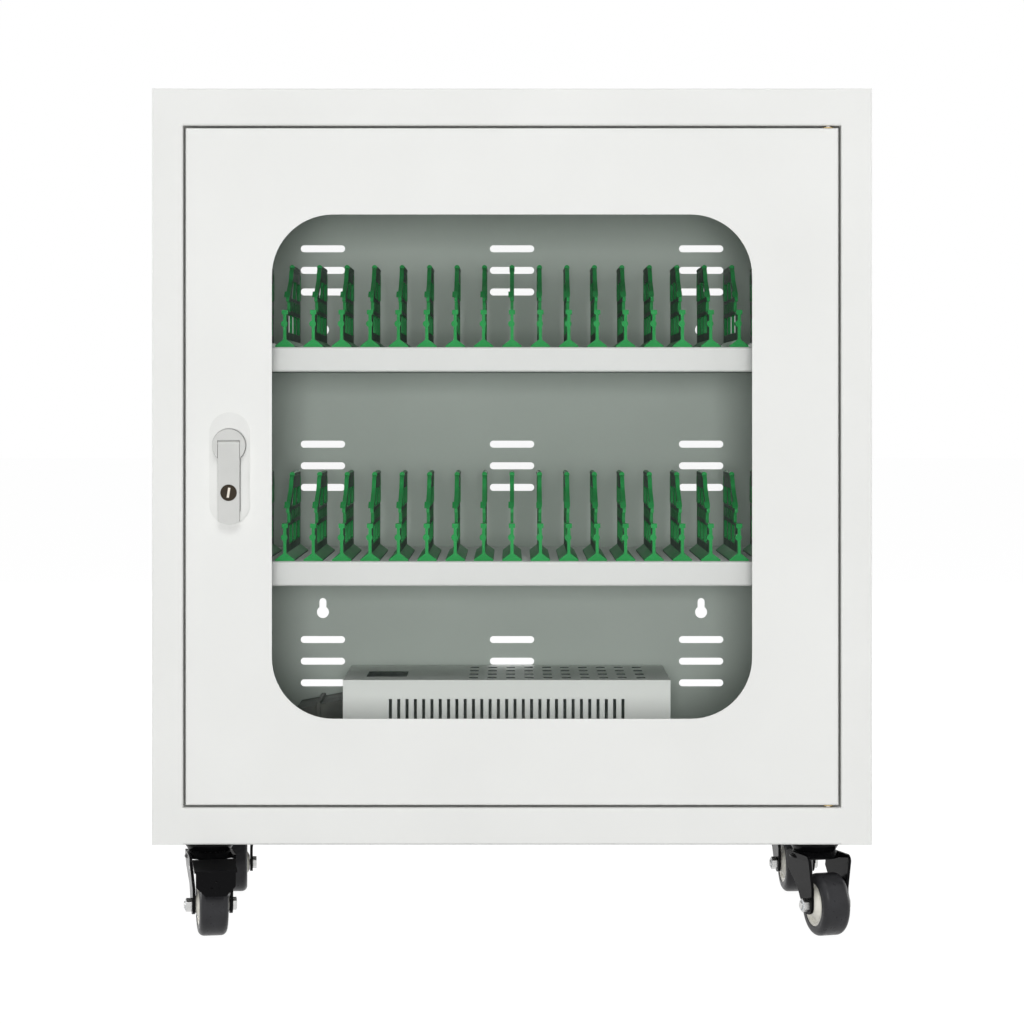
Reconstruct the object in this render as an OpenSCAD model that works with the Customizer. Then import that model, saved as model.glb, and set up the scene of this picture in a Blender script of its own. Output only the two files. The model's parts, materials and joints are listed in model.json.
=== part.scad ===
// Steel locker cabinet for phones, on four swivel casters: a flush glazed door with a flip-handle
// lock, two shelves of moulded dividers, a vented back that can hang on a wall, and a power box.
// X runs across the front, -Y points out of the front, Z is up and the floor is z = 0.
// "Depth" always means how far behind the front plane of the cabinet a thing lies.

/* [Cabinet] */
// Width of the steel body
cab_w = 600; // [580:1:680]
// Depth of the steel body
cab_d = 300; // [285:1:360]
// Height of the steel body without its casters
cab_h = 630; // [620:1:720]
// Thickness of the steel sheet
sheet = 1.2; // [0.8:0.1:1.6]
// Centre-line radius of each sheet bend
bend_r = 1.6; // [1.2:0.1:2.2]
// Width of each side panel's front flange
side_rail = 26; // [24:1:34]
// Height of the front flange on the top and bottom panels
end_rail = 31; // [24:1:38]
// How far the door jamb runs back from the front plane
jamb_d = 22.6; // [22.2:0.1:26]
// How far the door stop reaches into the opening
stop_reach = 11; // [8:0.5:12]
// Width of the flange that turns in at the back
back_flange = 12; // [8:1:18]

/* [Back panel] */
// Length of one vent slot
vent_len = 41.4; // [30:0.1:50]
// Height of one vent slot
vent_h = 6.5; // [4:0.1:8]
// Distance between two rows of one vent group
vent_row = 20.2; // [14:0.1:22]
// Distance of the outer vent columns from the cabinet's sides
vent_edge = 123.2; // [110:0.1:150]
// Distance between vent groups up the back
vent_dz = 182.7; // [150:0.1:190]
// Height of the middle vent group from the body's mid height
vent_mid = -6; // [-12:0.5:6]
// Radius of the round part of a wall-hanging keyhole
key_r = 5.6; // [4.5:0.1:7]
// Width of the narrow neck of a keyhole
key_neck = 6.5; // [5:0.1:7]
// How far a keyhole's neck rises above its centre
key_rise = 13.1; // [10:0.1:16]
// Distance of the keyholes from the cabinet's sides
key_edge = 123.2; // [110:0.1:150]
// Distance between keyholes up the back
key_dz = 264; // [255:0.1:275]
// Height of the keyhole pattern's centre from the body's mid height
key_mid = -10.8; // [-16:0.1:-4]
// Distance of the upright hanging holes from the cabinet's sides
hang_edge = 92; // [80:0.5:100]
// Width of an upright hanging hole
hang_w = 12; // [8:0.5:14]
// Height of an upright hanging hole
hang_h = 18; // [15:0.5:22]

/* [Door] */
// Gap between the door and its opening
door_gap = 2; // [1.5:0.1:2.6]
// Thickness of the folded door
door_t = 18; // [16:0.5:19]
// Width of the lip folded in behind the door
door_lip = 12; // [10:0.5:14]
// Outer radius of the door's front edges
door_edge_r = 2; // [1.6:0.1:3]
// Width of the door's border on each side of the window
stile = 72; // [70:1:100]
// Height of the door's border above and below the window
door_rail = 72; // [50:1:100]
// Corner radius of the window opening
win_r = 51; // [20:1:80]
// Thickness of the glass
glass_t = 4; // [3:0.5:5]
// Thickness of the gasket in front of the glass
gasket_t = 1.5; // [1:0.1:2]
// How far the glass laps behind the door skin
glass_lap = 8; // [6:0.5:9]
// Width of the flange that fixes the glass frame
frame_flange = 10; // [8:0.5:10.5]
// Distance of the hinge axis from the door's right edge
hinge_edge = 8.3; // [8:0.1:10]
// Depth of the hinge axis
hinge_depth = 5; // [4.9:0.1:5.5]
// Radius of a hinge pin
hinge_pin_r = 2.5; // [2:0.1:2.6]

/* [Lock] */
// Distance of the lock's centre line from the door's left edge
lock_edge = 37; // [35:0.5:38]
// Height of the lock's middle from the door's mid height
lock_mid = -1.5; // [-40:0.5:40]
// Width of the lock bezel
bezel_w = 33.7; // [32:0.1:36]
// Height of the lock bezel
bezel_h = 93.5; // [90:0.5:100]
// How far the bezel stands out of the door
bezel_t = 3; // [2:0.1:4]
// Diameter of the turning head
head_dia = 27.4; // [26:0.1:29]
// Height of the head's centre above the lock's middle
head_rise = 19.1; // [18:0.1:24]
// How far the head and the handle stand in front of the bezel
head_t = 7; // [6:0.1:8]
// Width of the flip handle
handle_w = 17.9; // [16.5:0.1:18.5]
// Diameter of the key cylinder
key_dia = 13.6; // [10:0.1:14]
// Drop of the key cylinder below the lock's middle
key_drop = 19.9; // [16:0.1:24]
// Length of the cam from the spindle to its tip
cam_len = 33; // [30:0.5:36]

/* [Shelves] */
// Height from the top of the cabinet to the top of the upper shelf
upper_clear = 214.5; // [200:0.5:230]
// Distance between the two shelf tops
shelf_pitch = 182.2; // [170:0.1:195]
// Depth of the shelf's front lip behind the front plane
shelf_front = 50; // [44:0.5:56]
// Height of the shelf's front lip
shelf_lip = 21; // [18:0.5:26]
// Width and height of a shelf bracket's legs
bracket_leg = 15; // [12:0.5:20]

/* [Dividers] */
// Number of dividers on each shelf
div_count = 21; // [13:2:21]
// Distance between neighbouring dividers
div_pitch = 24.2; // [23:0.1:25.5]
// Length of a divider, front to back
div_len = 166; // [160:1:190]
// Height of a divider
div_h = 76.5; // [72:0.5:84]
// Thickness of a divider's web
div_web = 2.7; // [2:0.1:3.5]
// Width of the divider's foot
foot_w = 16.6; // [12:0.1:20]
// Height of the divider's foot
foot_h = 6.5; // [4:0.1:7]
// Diameter of the round rod along the top
rod_w = 4.6; // [4:0.1:6]
// Width of the rim round the upper paddle
rim_w = 3.6; // [3:0.1:4]

/* [Power box] */
// Width of the power box
pbox_w = 290; // [260:1:300]
// Depth of the power box
pbox_d = 143; // [130:1:150]
// Height of the power box
pbox_h = 121.5; // [110:0.5:130]
// Distance of the power box's centre from the cabinet's centre line
pbox_x = -4.7; // [-10:0.1:10]
// Number of upright slots in its front
pbox_slots = 29; // [15:1:31]
// Distance between those slots
pbox_slot_pitch = 7.35; // [6:0.05:8]
// Width of the mains inlet housing beside it
inlet_w = 46; // [40:0.5:50]

/* [Casters] */
// Height of a caster from the floor to the cabinet
caster_h = 78; // [76:0.5:86]
// Distance of the caster stems from the cabinet's sides
caster_edge = 44; // [40:0.5:60]
// Distance of the caster stems from the front and the back
caster_inset = 40; // [30:0.5:60]
// Radius of a wheel
wheel_r = 26; // [24:0.5:26.5]
// Width of a tyre
tyre_w = 24; // [20:0.5:25]
// How far the axle trails the stem
trail = 24; // [23:0.5:26]
// Distance between the fork's legs
fork_gap = 29; // [27:0.5:32]
// Thickness of the fork's legs
fork_t = 2.5; // [2:0.1:3]
// Radius of the axle bolt
axle_r = 3; // [2.5:0.1:3.5]
// Swivel angle of the front left caster, from straight forward
yaw_front_left = 11; // [0:1:30]
// Swivel angle of the front right caster
yaw_front_right = 18; // [0:1:30]
// Swivel angle of the rear left caster
yaw_rear_left = 5; // [-20:1:20]
// Swivel angle of the rear right caster
yaw_rear_right = 6; // [-20:1:20]
// How far the brake pedal reaches from the stem
pedal_reach = 59.5; // [59:0.5:62]

/* [Fits] */
// Radial clearance of a pin or shaft in its bore
run_clear = 0.05; // [0.02:0.01:0.09]
// Clearance between pieces that seat side by side
seat_clear = 0.3; // [0.2:0.05:0.4]
// Radial clearance of a screw or stud in its hole
screw_clear = 0.2; // [0.1:0.05:0.3]

/* [Hidden] */
$fn = 64;

// Lock stack, measured forwards from the door's face
handle_back = bezel_t + seat_clear;
head_base_t = 2;
lock_proud = bezel_t + seat_clear + head_t;

// Caster stack, measured up from the floor
cup_t = 9.5;
cup_lip = 5;
cup_in = 3;
crown_t = 5.7;
crown_lip = 1.2;
crown_plate = 2.5;
crown_top = caster_h - cup_t - seat_clear;
crown_bottom = crown_top - crown_t;
cup_r = 20.5;
crown_r = 21;
crown_in = 3;
race_in = 10;
race_out = 15;
race_t = 3;
kingpin_r = 4;
stem_r = 5;
nut_t = 7;
axle_z = wheel_r;
tyre_t = 8;
fork_w = fork_gap + 2 * fork_t;
fork_splay = 2.5;
boss_r = 8;
leg_back = 14;
leg_front = trail + 8;

// Brake pedal, measured forwards from the stem and up from the floor
pedal_w = 35.4;
pedal_t = 1.8;
pedal_pivot_u = trail + 4;
pedal_pivot_z = axle_z + 32;
pedal_pin_r = 2;

// The front plane lies so that the pedal and the back are equally far from y = 0
pedal_front = pedal_reach * cos(yaw_front_left) + pedal_w / 2 * sin(yaw_front_left) - caster_inset;
front_y = (max(pedal_front, lock_proud) - cab_d) / 2;
back_y = front_y + cab_d;
body_bottom = caster_h;
body_top = caster_h + cab_h;
mid_z = (body_bottom + body_top) / 2;

// Opening and door
open_w = cab_w - 2 * side_rail;
open_bottom = body_bottom + end_rail;
open_top = body_top - end_rail;
door_w = open_w - 2 * door_gap;
door_h = open_top - open_bottom - 2 * door_gap;
door_bottom = open_bottom + door_gap;
door_top = open_top - door_gap;
win_w = door_w - 2 * stile;
win_h = door_h - 2 * door_rail;
hinge_x = door_w / 2 - hinge_edge;
hinge_y = front_y + hinge_depth;
inner_w = cab_w - 2 * sheet;
caster_x = cab_w / 2 - caster_edge;
back_inner = cab_d - 2 * sheet;

// Glass and its frame
glass_w = win_w + 2 * glass_lap;
glass_h = win_h + 2 * glass_lap;
glass_r = win_r + glass_lap;
glass_depth = sheet + gasket_t;
frame_slack = 0.5;
frame_in_w = glass_w + 2 * frame_slack;
frame_in_h = glass_h + 2 * frame_slack;
frame_in_r = glass_r + frame_slack;
frame_back = glass_depth + glass_t;
stud_r = 1.5;
stud_x = frame_in_w / 2 + sheet + frame_flange / 2;
stud_z = frame_in_h / 2 + sheet + frame_flange / 2;

// Lock
lock_x = -door_w / 2 + lock_edge;
lock_z = mid_z + lock_mid;
head_z = lock_z + head_rise;
spindle_r = 5;
spindle_square = 7;
housing_w = 25;
housing_d = 19;
cam_depth = jamb_d + sheet + 0.4;
cam_t = 3;
nose_r = (head_t - head_base_t - seat_clear) / 2;
handle_top = head_z + 4;
handle_pin_z = handle_top - nose_r;
handle_pin_out = lock_proud - nose_r;
handle_pin_r = 1;
handle_pin_len = 24;

// Shelves
upper_shelf_z = body_top - upper_clear;
lower_shelf_z = upper_shelf_z - shelf_pitch;
shelf_w = inner_w - 2 * seat_clear;
shelf_back = back_inner - seat_clear;
shelf_return = 14;
div_front = shelf_front + 6.5;

// Power box
pbox_sheet = 1;
pbox_floor = body_bottom + sheet;
pbox_back = back_inner - 2.6;
pbox_front = pbox_back - pbox_d;
board_z = pbox_floor + pbox_sheet + 6;
board_t = 1.6;
inlet_right = pbox_x - pbox_w / 2 - 1;
inlet_mid_x = inlet_right - inlet_w / 2;
inlet_z = body_bottom + 62;
socket_w = 24;
socket_h = 16;
socket_d = 16;
inlet_d = 80;
inlet_half_h = 28;

// ---------------------------------------------------------------- helpers

function unit(v) = v / norm(v);

// Profile in X and Z, filled from depth d over a thickness t
module facing(d, t) {
    translate([0, front_y + d + t, 0]) rotate([90, 0, 0]) linear_extrude(t) children();
}

// Profile in Y and Z, filled from x over a length l
module across(x, l) {
    translate([x, 0, 0]) rotate([90, 0, 90]) linear_extrude(l) children();
}

// Profile in X and Y, filled from z over a height h
module upright(z, h) {
    translate([0, 0, z]) linear_extrude(h) children();
}

module rounded_rect(w, h, r) {
    square([w - 2 * r, h], center = true);
    square([w, h - 2 * r], center = true);
    for (x = [-1, 1], y = [-1, 1])
        translate([x * (w / 2 - r), y * (h / 2 - r)]) circle(r);
}

// Straight stretch of sheet between two points on its centre line
module flat_run(p, q, t) {
    along_x = abs(q.x - p.x) > abs(q.y - p.y);
    low = [min(p.x, q.x), min(p.y, q.y)];
    span = [abs(q.x - p.x), abs(q.y - p.y)];
    translate(low - (along_x ? [0, t / 2] : [t / 2, 0]))
        square(span + (along_x ? [0, t] : [t, 0]));
}

// Quarter bend of sheet between two directions
module quarter_bend(p, way_in, way_out, t, r) {
    reach = r + t / 2;
    side = way_in - way_out;
    translate(p - way_in * r + way_out * r) intersection() {
        difference() {
            circle(reach);
            circle(r - t / 2);
        }
        translate([side.x < 0 ? -reach : 0, side.y < 0 ? -reach : 0]) square(reach);
    }
}

// Folded sheet along a centre line with right-angle bends
module folded(pts, t = sheet, r = bend_r) {
    last = len(pts) - 1;
    for (i = [0 : last - 1]) {
        way = unit(pts[i + 1] - pts[i]);
        flat_run(pts[i] + way * (i == 0 ? 0 : r), pts[i + 1] - way * (i == last - 1 ? 0 : r), t);
    }
    if (last > 1) for (i = [1 : last - 1])
        quarter_bend(pts[i], unit(pts[i] - pts[i - 1]), unit(pts[i + 1] - pts[i]), t, r);
}

// Hexagon across corners
module hex(r, h) {
    cylinder(r = r, h = h, $fn = 6);
}

// ---------------------------------------------------------------- cabinet

module side_panel() {
    wall_x = -cab_w / 2 + sheet / 2;
    jamb_x = -open_w / 2 - sheet / 2;
    rail_y = front_y + sheet / 2;
    stop_y = front_y + jamb_d + sheet / 2;
    wall = [[-cab_w / 2 + back_flange, back_y - sheet / 2], [wall_x, back_y - sheet / 2], [wall_x, rail_y]];
    plain = concat(wall, [[-open_w / 2, rail_y]]);
    jambed = concat(wall, [[jamb_x, rail_y], [jamb_x, stop_y], [-open_w / 2 + stop_reach, stop_y]]);
    upright(body_bottom, end_rail) folded(plain);
    upright(open_bottom, open_top - open_bottom) folded(jambed);
    upright(open_top, end_rail) folded(plain);
}

module left_side_panel() {
    color("whitesmoke") side_panel();
}

module right_side_panel() {
    color("whitesmoke") mirror([1, 0, 0]) side_panel();
}

module end_panel() {
    skin_z = body_top - sheet / 2;
    rail_y = front_y + sheet / 2;
    jamb_z = open_top + sheet / 2;
    stop_y = front_y + jamb_d + sheet / 2;
    tail = [[back_y - sheet / 2, body_top - back_flange], [back_y - sheet / 2, skin_z]];
    rail = [[rail_y, skin_z], [rail_y, jamb_z], [stop_y, jamb_z]];
    stop = concat(rail, [[stop_y, open_top - stop_reach]]);
    stop_w = open_w - 2 * stop_reach;
    flange_x = cab_w / 2 - back_flange;
    jamb = [rail[0], rail[1], [stop_y - sheet / 2, jamb_z]];
    across(-stop_w / 2, stop_w) folded(concat(tail, stop));
    for (s = [0, 1]) mirror([s, 0, 0]) {
        across(stop_w / 2, stop_reach) folded(concat(tail, jamb));
        across(open_w / 2, flange_x - open_w / 2) folded(concat(tail, [[front_y + sheet, skin_z]]));
        across(flange_x, inner_w / 2 - flange_x)
            folded([[back_y - sheet, skin_z], [front_y + sheet, skin_z]]);
    }
}

module hinge_hole(z) {
    translate([hinge_x, hinge_y, z]) cylinder(r = hinge_pin_r + seat_clear, h = 4 * sheet, center = true);
}

module top_panel() {
    color("whitesmoke") difference() {
        end_panel();
        hinge_hole(open_top + sheet / 2);
    }
}

module bottom_panel() {
    color("whitesmoke") difference() {
        translate([0, 0, 2 * mid_z]) mirror([0, 0, 1]) end_panel();
        hinge_hole(open_bottom - sheet / 2);
        for (side = [-1, 1], row = [front_y + caster_inset, back_y - caster_inset])
            translate([side * caster_x, row, body_bottom])
                cylinder(r = stem_r + screw_clear, h = 4 * sheet, center = true);
    }
}

module slot(w, h) {
    r = min(w, h) / 2;
    rounded_rect(w, h, r - 0.001);
}

module keyhole() {
    circle(key_r);
    translate([0, key_rise - key_neck / 2]) circle(key_neck / 2);
    translate([-key_neck / 2, 0]) square([key_neck, key_rise - key_neck / 2]);
}

module back_panel() {
    corner = bend_r - sheet / 2;
    hang_z = mid_z + key_mid + key_dz / 2 + 4;
    panel = [inner_w - 2 * corner, cab_h - 2 * sheet - 2 * corner];
    color("gainsboro") facing(back_inner, sheet) difference() {
        translate([0, mid_z]) square(panel, center = true);
        for (col = [-1 : 1], group = [-1 : 1], row = [-1 : 1])
            translate([col * (cab_w / 2 - vent_edge), mid_z + vent_mid + group * vent_dz + row * vent_row])
                slot(vent_len, vent_h);
        for (x = [-1, 1], z = [-1, 1])
            translate([x * (cab_w / 2 - key_edge), mid_z + key_mid + z * key_dz / 2]) keyhole();
        for (x = [-1, 1])
            translate([x * (cab_w / 2 - hang_edge), hang_z]) slot(hang_w, hang_h);
        translate([inlet_mid_x, inlet_z])
            square([socket_w + 2 * seat_clear, socket_h + 2 * seat_clear], center = true);
    }
}

// ---------------------------------------------------------------- shelves

module shelf_pan(z) {
    lip_y = front_y + shelf_front + sheet / 2;
    across(-shelf_w / 2, shelf_w) folded([
        [front_y + shelf_back, z - sheet / 2],
        [lip_y, z - sheet / 2],
        [lip_y, z - shelf_lip + sheet / 2],
        [lip_y + shelf_return, z - shelf_lip + sheet / 2]
    ]);
}

// Closes the underside: it lies on the pan's return and turns up at the back
module shelf_cover(z) {
    low = z - shelf_lip + 1.5 * sheet;
    across(-shelf_w / 2, shelf_w) folded([
        [front_y + shelf_front + sheet + bend_r, low],
        [front_y + shelf_back - sheet / 2, low],
        [front_y + shelf_back - sheet / 2, z - sheet]
    ]);
}

module shelf_bracket(z) {
    wall_x = -inner_w / 2 + sheet / 2;
    high = z - sheet / 2;
    front = shelf_front + 12;
    back = cab_d - 38;
    facing(front, back - front)
        folded([[wall_x, z - bracket_leg], [wall_x, high], [wall_x + bracket_leg, high]]);
}

module upper_shelf() { color("gainsboro") shelf_pan(upper_shelf_z); }
module lower_shelf() { color("gainsboro") shelf_pan(lower_shelf_z); }
module upper_shelf_cover() { color("silver") shelf_cover(upper_shelf_z); }
module lower_shelf_cover() { color("silver") shelf_cover(lower_shelf_z); }

module shelf_brackets() {
    color("silver") for (z = [upper_shelf_z, lower_shelf_z], s = [0, 1])
        mirror([s, 0, 0]) shelf_bracket(z - shelf_lip);
}

// ---------------------------------------------------------------- dividers

// Side outlines are drawn with the front edge at 0 and the length running back
paddle_front = 31;
paddle_low = 40;
paddle_r = 30;
tail_r = 12;
neck_front = 44;
neck_low = 31;
corner_r = 4;
foot_edge = 1.2;
rim_t = 3;
rail_t = 5;

// Upper paddle up to the rod's axis, drawn in by e, with a large front round and a small back one
module paddle(e) {
    high = div_h - rod_w / 2 - e;
    front = paddle_front + e;
    back = div_len - e;
    front_r = paddle_r - e;
    back_r = tail_r - e;
    intersection() {
        translate([front, paddle_low]) square([back - front, high - paddle_low]);
        union() {
            translate([front, 0]) square([back - front, high - front_r]);
            translate([front + front_r, 0]) square([back - front - front_r - back_r, high]);
            translate([back - back_r, 0]) square([back_r, high - back_r]);
            translate([front + front_r, high - front_r]) circle(front_r);
            translate([back - back_r, high - back_r]) circle(back_r);
        }
    }
}

module divider_window(from, to, low, high) {
    translate([(from + to) / 2, (low + high) / 2]) rounded_rect(to - from, high - low, 2);
}

module divider_web() {
    low_front = 28;
    low_cells = 3;
    low_step = (div_len - low_front - rail_t) / low_cells;
    truss_low = neck_low + 1.5;
    truss_high = paddle_low + 1;
    truss_step = 13;
    truss_w = truss_step - 3;
    truss_front = neck_front + rail_t;
    high_low = paddle_low + 4;
    high_top = div_h - rod_w - 2 * rail_t;
    high_front = neck_front + 12;
    high_step = 58;
    difference() {
        union() {
            square([div_len, neck_low - corner_r]);
            translate([corner_r, 0]) square([div_len - corner_r, neck_low]);
            translate([corner_r, neck_low - corner_r]) circle(corner_r);
            translate([neck_front, 0]) square([div_len - neck_front, paddle_low + 1]);
            paddle(0);
        }
        for (i = [0 : low_cells - 1])
            divider_window(low_front + i * low_step, low_front + (i + 1) * low_step - rail_t,
                2 * foot_h, neck_low - 2);
        for (i = [0 : floor((div_len - truss_front) / truss_step) - 1])
            translate([truss_front + i * truss_step, 0]) polygon([
                [0, i % 2 == 0 ? truss_low : truss_high],
                [truss_w, i % 2 == 0 ? truss_low : truss_high],
                [truss_w / 2, i % 2 == 0 ? truss_high : truss_low]
            ]);
        divider_window(high_front, high_front + high_step - 2 * rail_t, high_low, high_top);
        divider_window(high_front + high_step, div_len - 2 * rail_t, high_low, high_top);
        translate([high_front + high_step - rail_t, high_top + rail_t]) circle(rail_t / 2);
    }
}

// One moulded divider standing on z = 0 with its front edge at y = 0
module divider() {
    nub_len = 9;
    nub_out = div_web / 2 + 2;
    nub_z = 20;
    nub_h = 5.6;
    collar = [div_web + 2.6, nub_len, 3.8];
    collar_z = 28;
    lug = [div_web + 1.8, 8, 5.8];
    lug_z = 44;
    rod_front = paddle_front + paddle_r - rod_w;
    across(-div_web / 2, div_web) divider_web();
    across(-rim_w / 2, rim_w) difference() {
        paddle(0);
        paddle(rim_t);
        translate([0, paddle_low - 1]) square([div_len, rail_t + 1]);
    }
    translate([0, rod_front, div_h - rod_w / 2]) rotate([-90, 0, 0])
        cylinder(r = rod_w / 2, h = div_len - tail_r - rod_front);
    translate([0, div_len, 0]) rotate([90, 0, 0]) linear_extrude(div_len)
        polygon([
            [-foot_w / 2, 0], [foot_w / 2, 0], [foot_w / 2, foot_edge],
            [div_web / 2, foot_h], [-div_web / 2, foot_h], [-foot_w / 2, foot_edge]
        ]);
    // Guide nub to the left, collar above it, and a lug on the paddle's front edge
    translate([nub_h / 2 - nub_out, 0, nub_z]) rotate([-90, 0, 0]) cylinder(r = nub_h / 2, h = nub_len);
    translate([-collar.x / 2, 0, collar_z]) cube(collar);
    translate([div_web / 2 - lug.x, paddle_front - 1, lug_z]) cube(lug);
}

module divider_row(z) {
    half = (div_count - 1) / 2;
    color("mediumseagreen") for (i = [-half : half])
        translate([i * div_pitch, front_y + div_front, z]) divider();
}

module upper_dividers() { divider_row(upper_shelf_z); }
module lower_dividers() { divider_row(lower_shelf_z); }

// ---------------------------------------------------------------- power box

module power_box_base() {
    w = pbox_w - 2 * pbox_sheet - 2 * screw_clear;
    front = front_y + pbox_front + pbox_sheet + screw_clear;
    back = front_y + pbox_back;
    color("darkgray") translate([pbox_x, 0, 0]) across(-w / 2, w) folded([
        [front, pbox_floor + pbox_sheet / 2],
        [back - pbox_sheet / 2, pbox_floor + pbox_sheet / 2],
        [back - pbox_sheet / 2, pbox_floor + pbox_h - pbox_sheet - screw_clear]
    ], pbox_sheet);
}

module power_box_cover() {
    slot_w = 2.7;
    slot_low = 20;
    slot_high = pbox_h - 16.8;
    dash_cols = 10;
    dash_rows = 4;
    dash_pitch = 16.6;
    dash_row = 33.5;
    dash = [8, 2.6];
    dash_x = 45;
    dash_front = 22;
    hatch = [36, 50];
    hatch_x = -107.6;
    hatch_y = 57.5;
    inner_wall = pbox_w / 2 - pbox_sheet;
    span = (pbox_slots - 1) / 2;
    color("whitesmoke") translate([pbox_x, front_y + pbox_front, pbox_floor]) difference() {
        translate([-pbox_w / 2, 0, 0]) cube([pbox_w, pbox_d, pbox_h]);
        translate([-inner_wall, pbox_sheet, -pbox_sheet]) cube([2 * inner_wall, pbox_d, pbox_h]);
        for (i = [-span : span])
            translate([i * pbox_slot_pitch - slot_w / 2, -pbox_sheet, slot_low])
                cube([slot_w, 3 * pbox_sheet, slot_high - slot_low]);
        for (i = [0 : dash_cols - 1], j = [0 : dash_rows - 1])
            translate([dash_x + (i - (dash_cols - 1) / 2) * dash_pitch, dash_front + j * dash_row, pbox_h])
                cube([dash.x, dash.y, 4 * pbox_sheet], center = true);
        translate([hatch_x, hatch_y, pbox_h]) cube([hatch.x, hatch.y, 4 * pbox_sheet], center = true);
    }
}

module supply_board() {
    size = [pbox_w - 40, pbox_d - 26];
    post_in = 8;
    post_r = 3;
    color("darkgreen") translate([pbox_x, front_y + (pbox_front + pbox_back) / 2, 0]) {
        translate([-size.x / 2, -size.y / 2, board_z]) cube([size.x, size.y, board_t]);
        for (x = [-1, 1], y = [-1, 1])
            translate([x * (size.x / 2 - post_in), y * (size.y / 2 - post_in), pbox_floor + pbox_sheet])
                cylinder(r = post_r, h = board_z - pbox_floor - pbox_sheet);
    }
}

// Transformer, three capacitors and a finned heat sink
module supply_components() {
    core = [56, 40, 48];
    winding = [36, 54, 32];
    can_r = 11;
    can_h = 42;
    can_step = 28;
    sink = [90, 6, 50];
    fin = [2, 20, 50];
    fins = 9;
    fin_step = (sink.x - fin.x) / (fins - 1);
    color("dimgray") translate([pbox_x, front_y + (pbox_front + pbox_back) / 2, board_z + board_t]) {
        translate([-core.x - 24, -core.y / 2, 0]) {
            cube(core);
            translate((core - winding) / 2) cube(winding);
        }
        for (i = [0 : 2]) translate([can_r + i * can_step, -2.5 * can_r, 0]) cylinder(r = can_r, h = can_h);
        translate([0, can_r + 1, 0]) {
            cube(sink);
            for (i = [0 : fins - 1]) translate([i * fin_step, sink.y, 0]) cube(fin);
        }
    }
}

// Moulded housing with a sloping top, a rib over its joint and a recess for the mains connector
module inlet_housing() {
    low = inlet_z - inlet_half_h;
    high = inlet_z + inlet_half_h;
    rise = 9;
    rib = 1.5;
    rib_w = 4;
    wall_y = front_y + back_inner;
    color("dimgray") difference() {
        union() {
            translate([inlet_right - inlet_w, wall_y, 0]) rotate([90, 0, 0]) linear_extrude(inlet_d)
                polygon([[0, low], [inlet_w, low], [inlet_w, high + rise], [0, high]]);
            translate([inlet_mid_x - rib_w, wall_y - inlet_d - rib, low + rib_w])
                cube([rib_w, inlet_d, high + rise / 2 - rib - low]);
            translate([inlet_mid_x - socket_w / 2, wall_y - 1, inlet_z - socket_h / 2])
                cube([socket_w, 1 + 2 * sheet, socket_h]);
        }
        translate([inlet_mid_x, wall_y, inlet_z])
            cube([socket_w - 4, 2 * socket_d, socket_h - 4], center = true);
    }
}

module inlet_pins() {
    pin = [2, socket_d - 2, 4];
    spread = 6;
    drop = 1.5;
    color("silver") for (place = [[-spread, -drop], [0, drop], [spread, -drop]])
        translate([inlet_mid_x + place.x - pin.x / 2, front_y + back_inner - socket_d,
            inlet_z + place.y - pin.z / 2]) cube(pin);
}

// ---------------------------------------------------------------- hinges

bracket_t = 3;
bracket_plate = [33, 18];
pin_head_r = hinge_depth - sheet - screw_clear;
pin_head_t = 2;
bush_r = 3.5;
bush_flange_r = 4.4;
bush_flange_t = 0.9;
bush_len = 13;

// Everything at the upper hinge; the lower one is its mirror image
module at_both_ends() {
    children();
    translate([0, 0, 2 * mid_z]) mirror([0, 0, 1]) children();
}

module hinge_bracket() {
    difference() {
        translate([open_w / 2 - bracket_plate.x, front_y + sheet + bend_r, open_top + sheet])
            cube([bracket_plate.x, bracket_plate.y, bracket_t]);
        translate([hinge_x, hinge_y, open_top]) cylinder(r = hinge_pin_r + run_clear, h = 4 * bracket_t);
    }
}

module hinge_pin() {
    seat = open_top + sheet + bracket_t;
    tip = door_top - bush_len + 1;
    translate([hinge_x, hinge_y, 0]) {
        translate([0, 0, tip]) cylinder(r = hinge_pin_r, h = seat - tip);
        translate([0, 0, seat]) cylinder(r = pin_head_r, h = pin_head_t);
    }
}

module hinge_bush() {
    translate([hinge_x, hinge_y, door_top]) difference() {
        union() {
            translate([0, 0, -bush_len]) cylinder(r = bush_r, h = bush_len);
            cylinder(r = bush_flange_r, h = bush_flange_t);
        }
        translate([0, 0, -2 * bush_len]) cylinder(r = hinge_pin_r + run_clear, h = 3 * bush_len);
    }
}

module upper_hinge_bracket() {
    color("silver") hinge_bracket();
}

module lower_hinge_bracket() {
    color("silver") translate([0, 0, 2 * mid_z]) mirror([0, 0, 1]) hinge_bracket();
}

module hinge_pins() {
    color("silver") at_both_ends() hinge_pin();
}

module hinge_bushes() {
    color("gold") at_both_ends() hinge_bush();
}

// ---------------------------------------------------------------- door

// Block of the door's outside, drawn in by e, with rounded front edges and an endless back
module door_block(e) {
    r = door_edge_r - e;
    depth = door_t + e * 10;
    module front_rounded(w) {
        translate([-w / 2, r]) square([w, depth - e - r]);
        translate([-w / 2 + r, 0]) square([w - 2 * r, depth - e]);
        for (s = [-1, 1]) translate([s * (w / 2 - r), r]) circle(r);
    }
    translate([0, front_y + e, 0]) intersection() {
        upright(door_bottom - 1, door_h + 2) front_rounded(door_w - 2 * e);
        translate([-door_w / 2 - 1, 0, mid_z]) rotate([90, 0, 90]) linear_extrude(door_w + 2)
            rotate([0, 0, 90]) mirror([0, 1]) front_rounded(door_h - 2 * e);
    }
}

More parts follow.
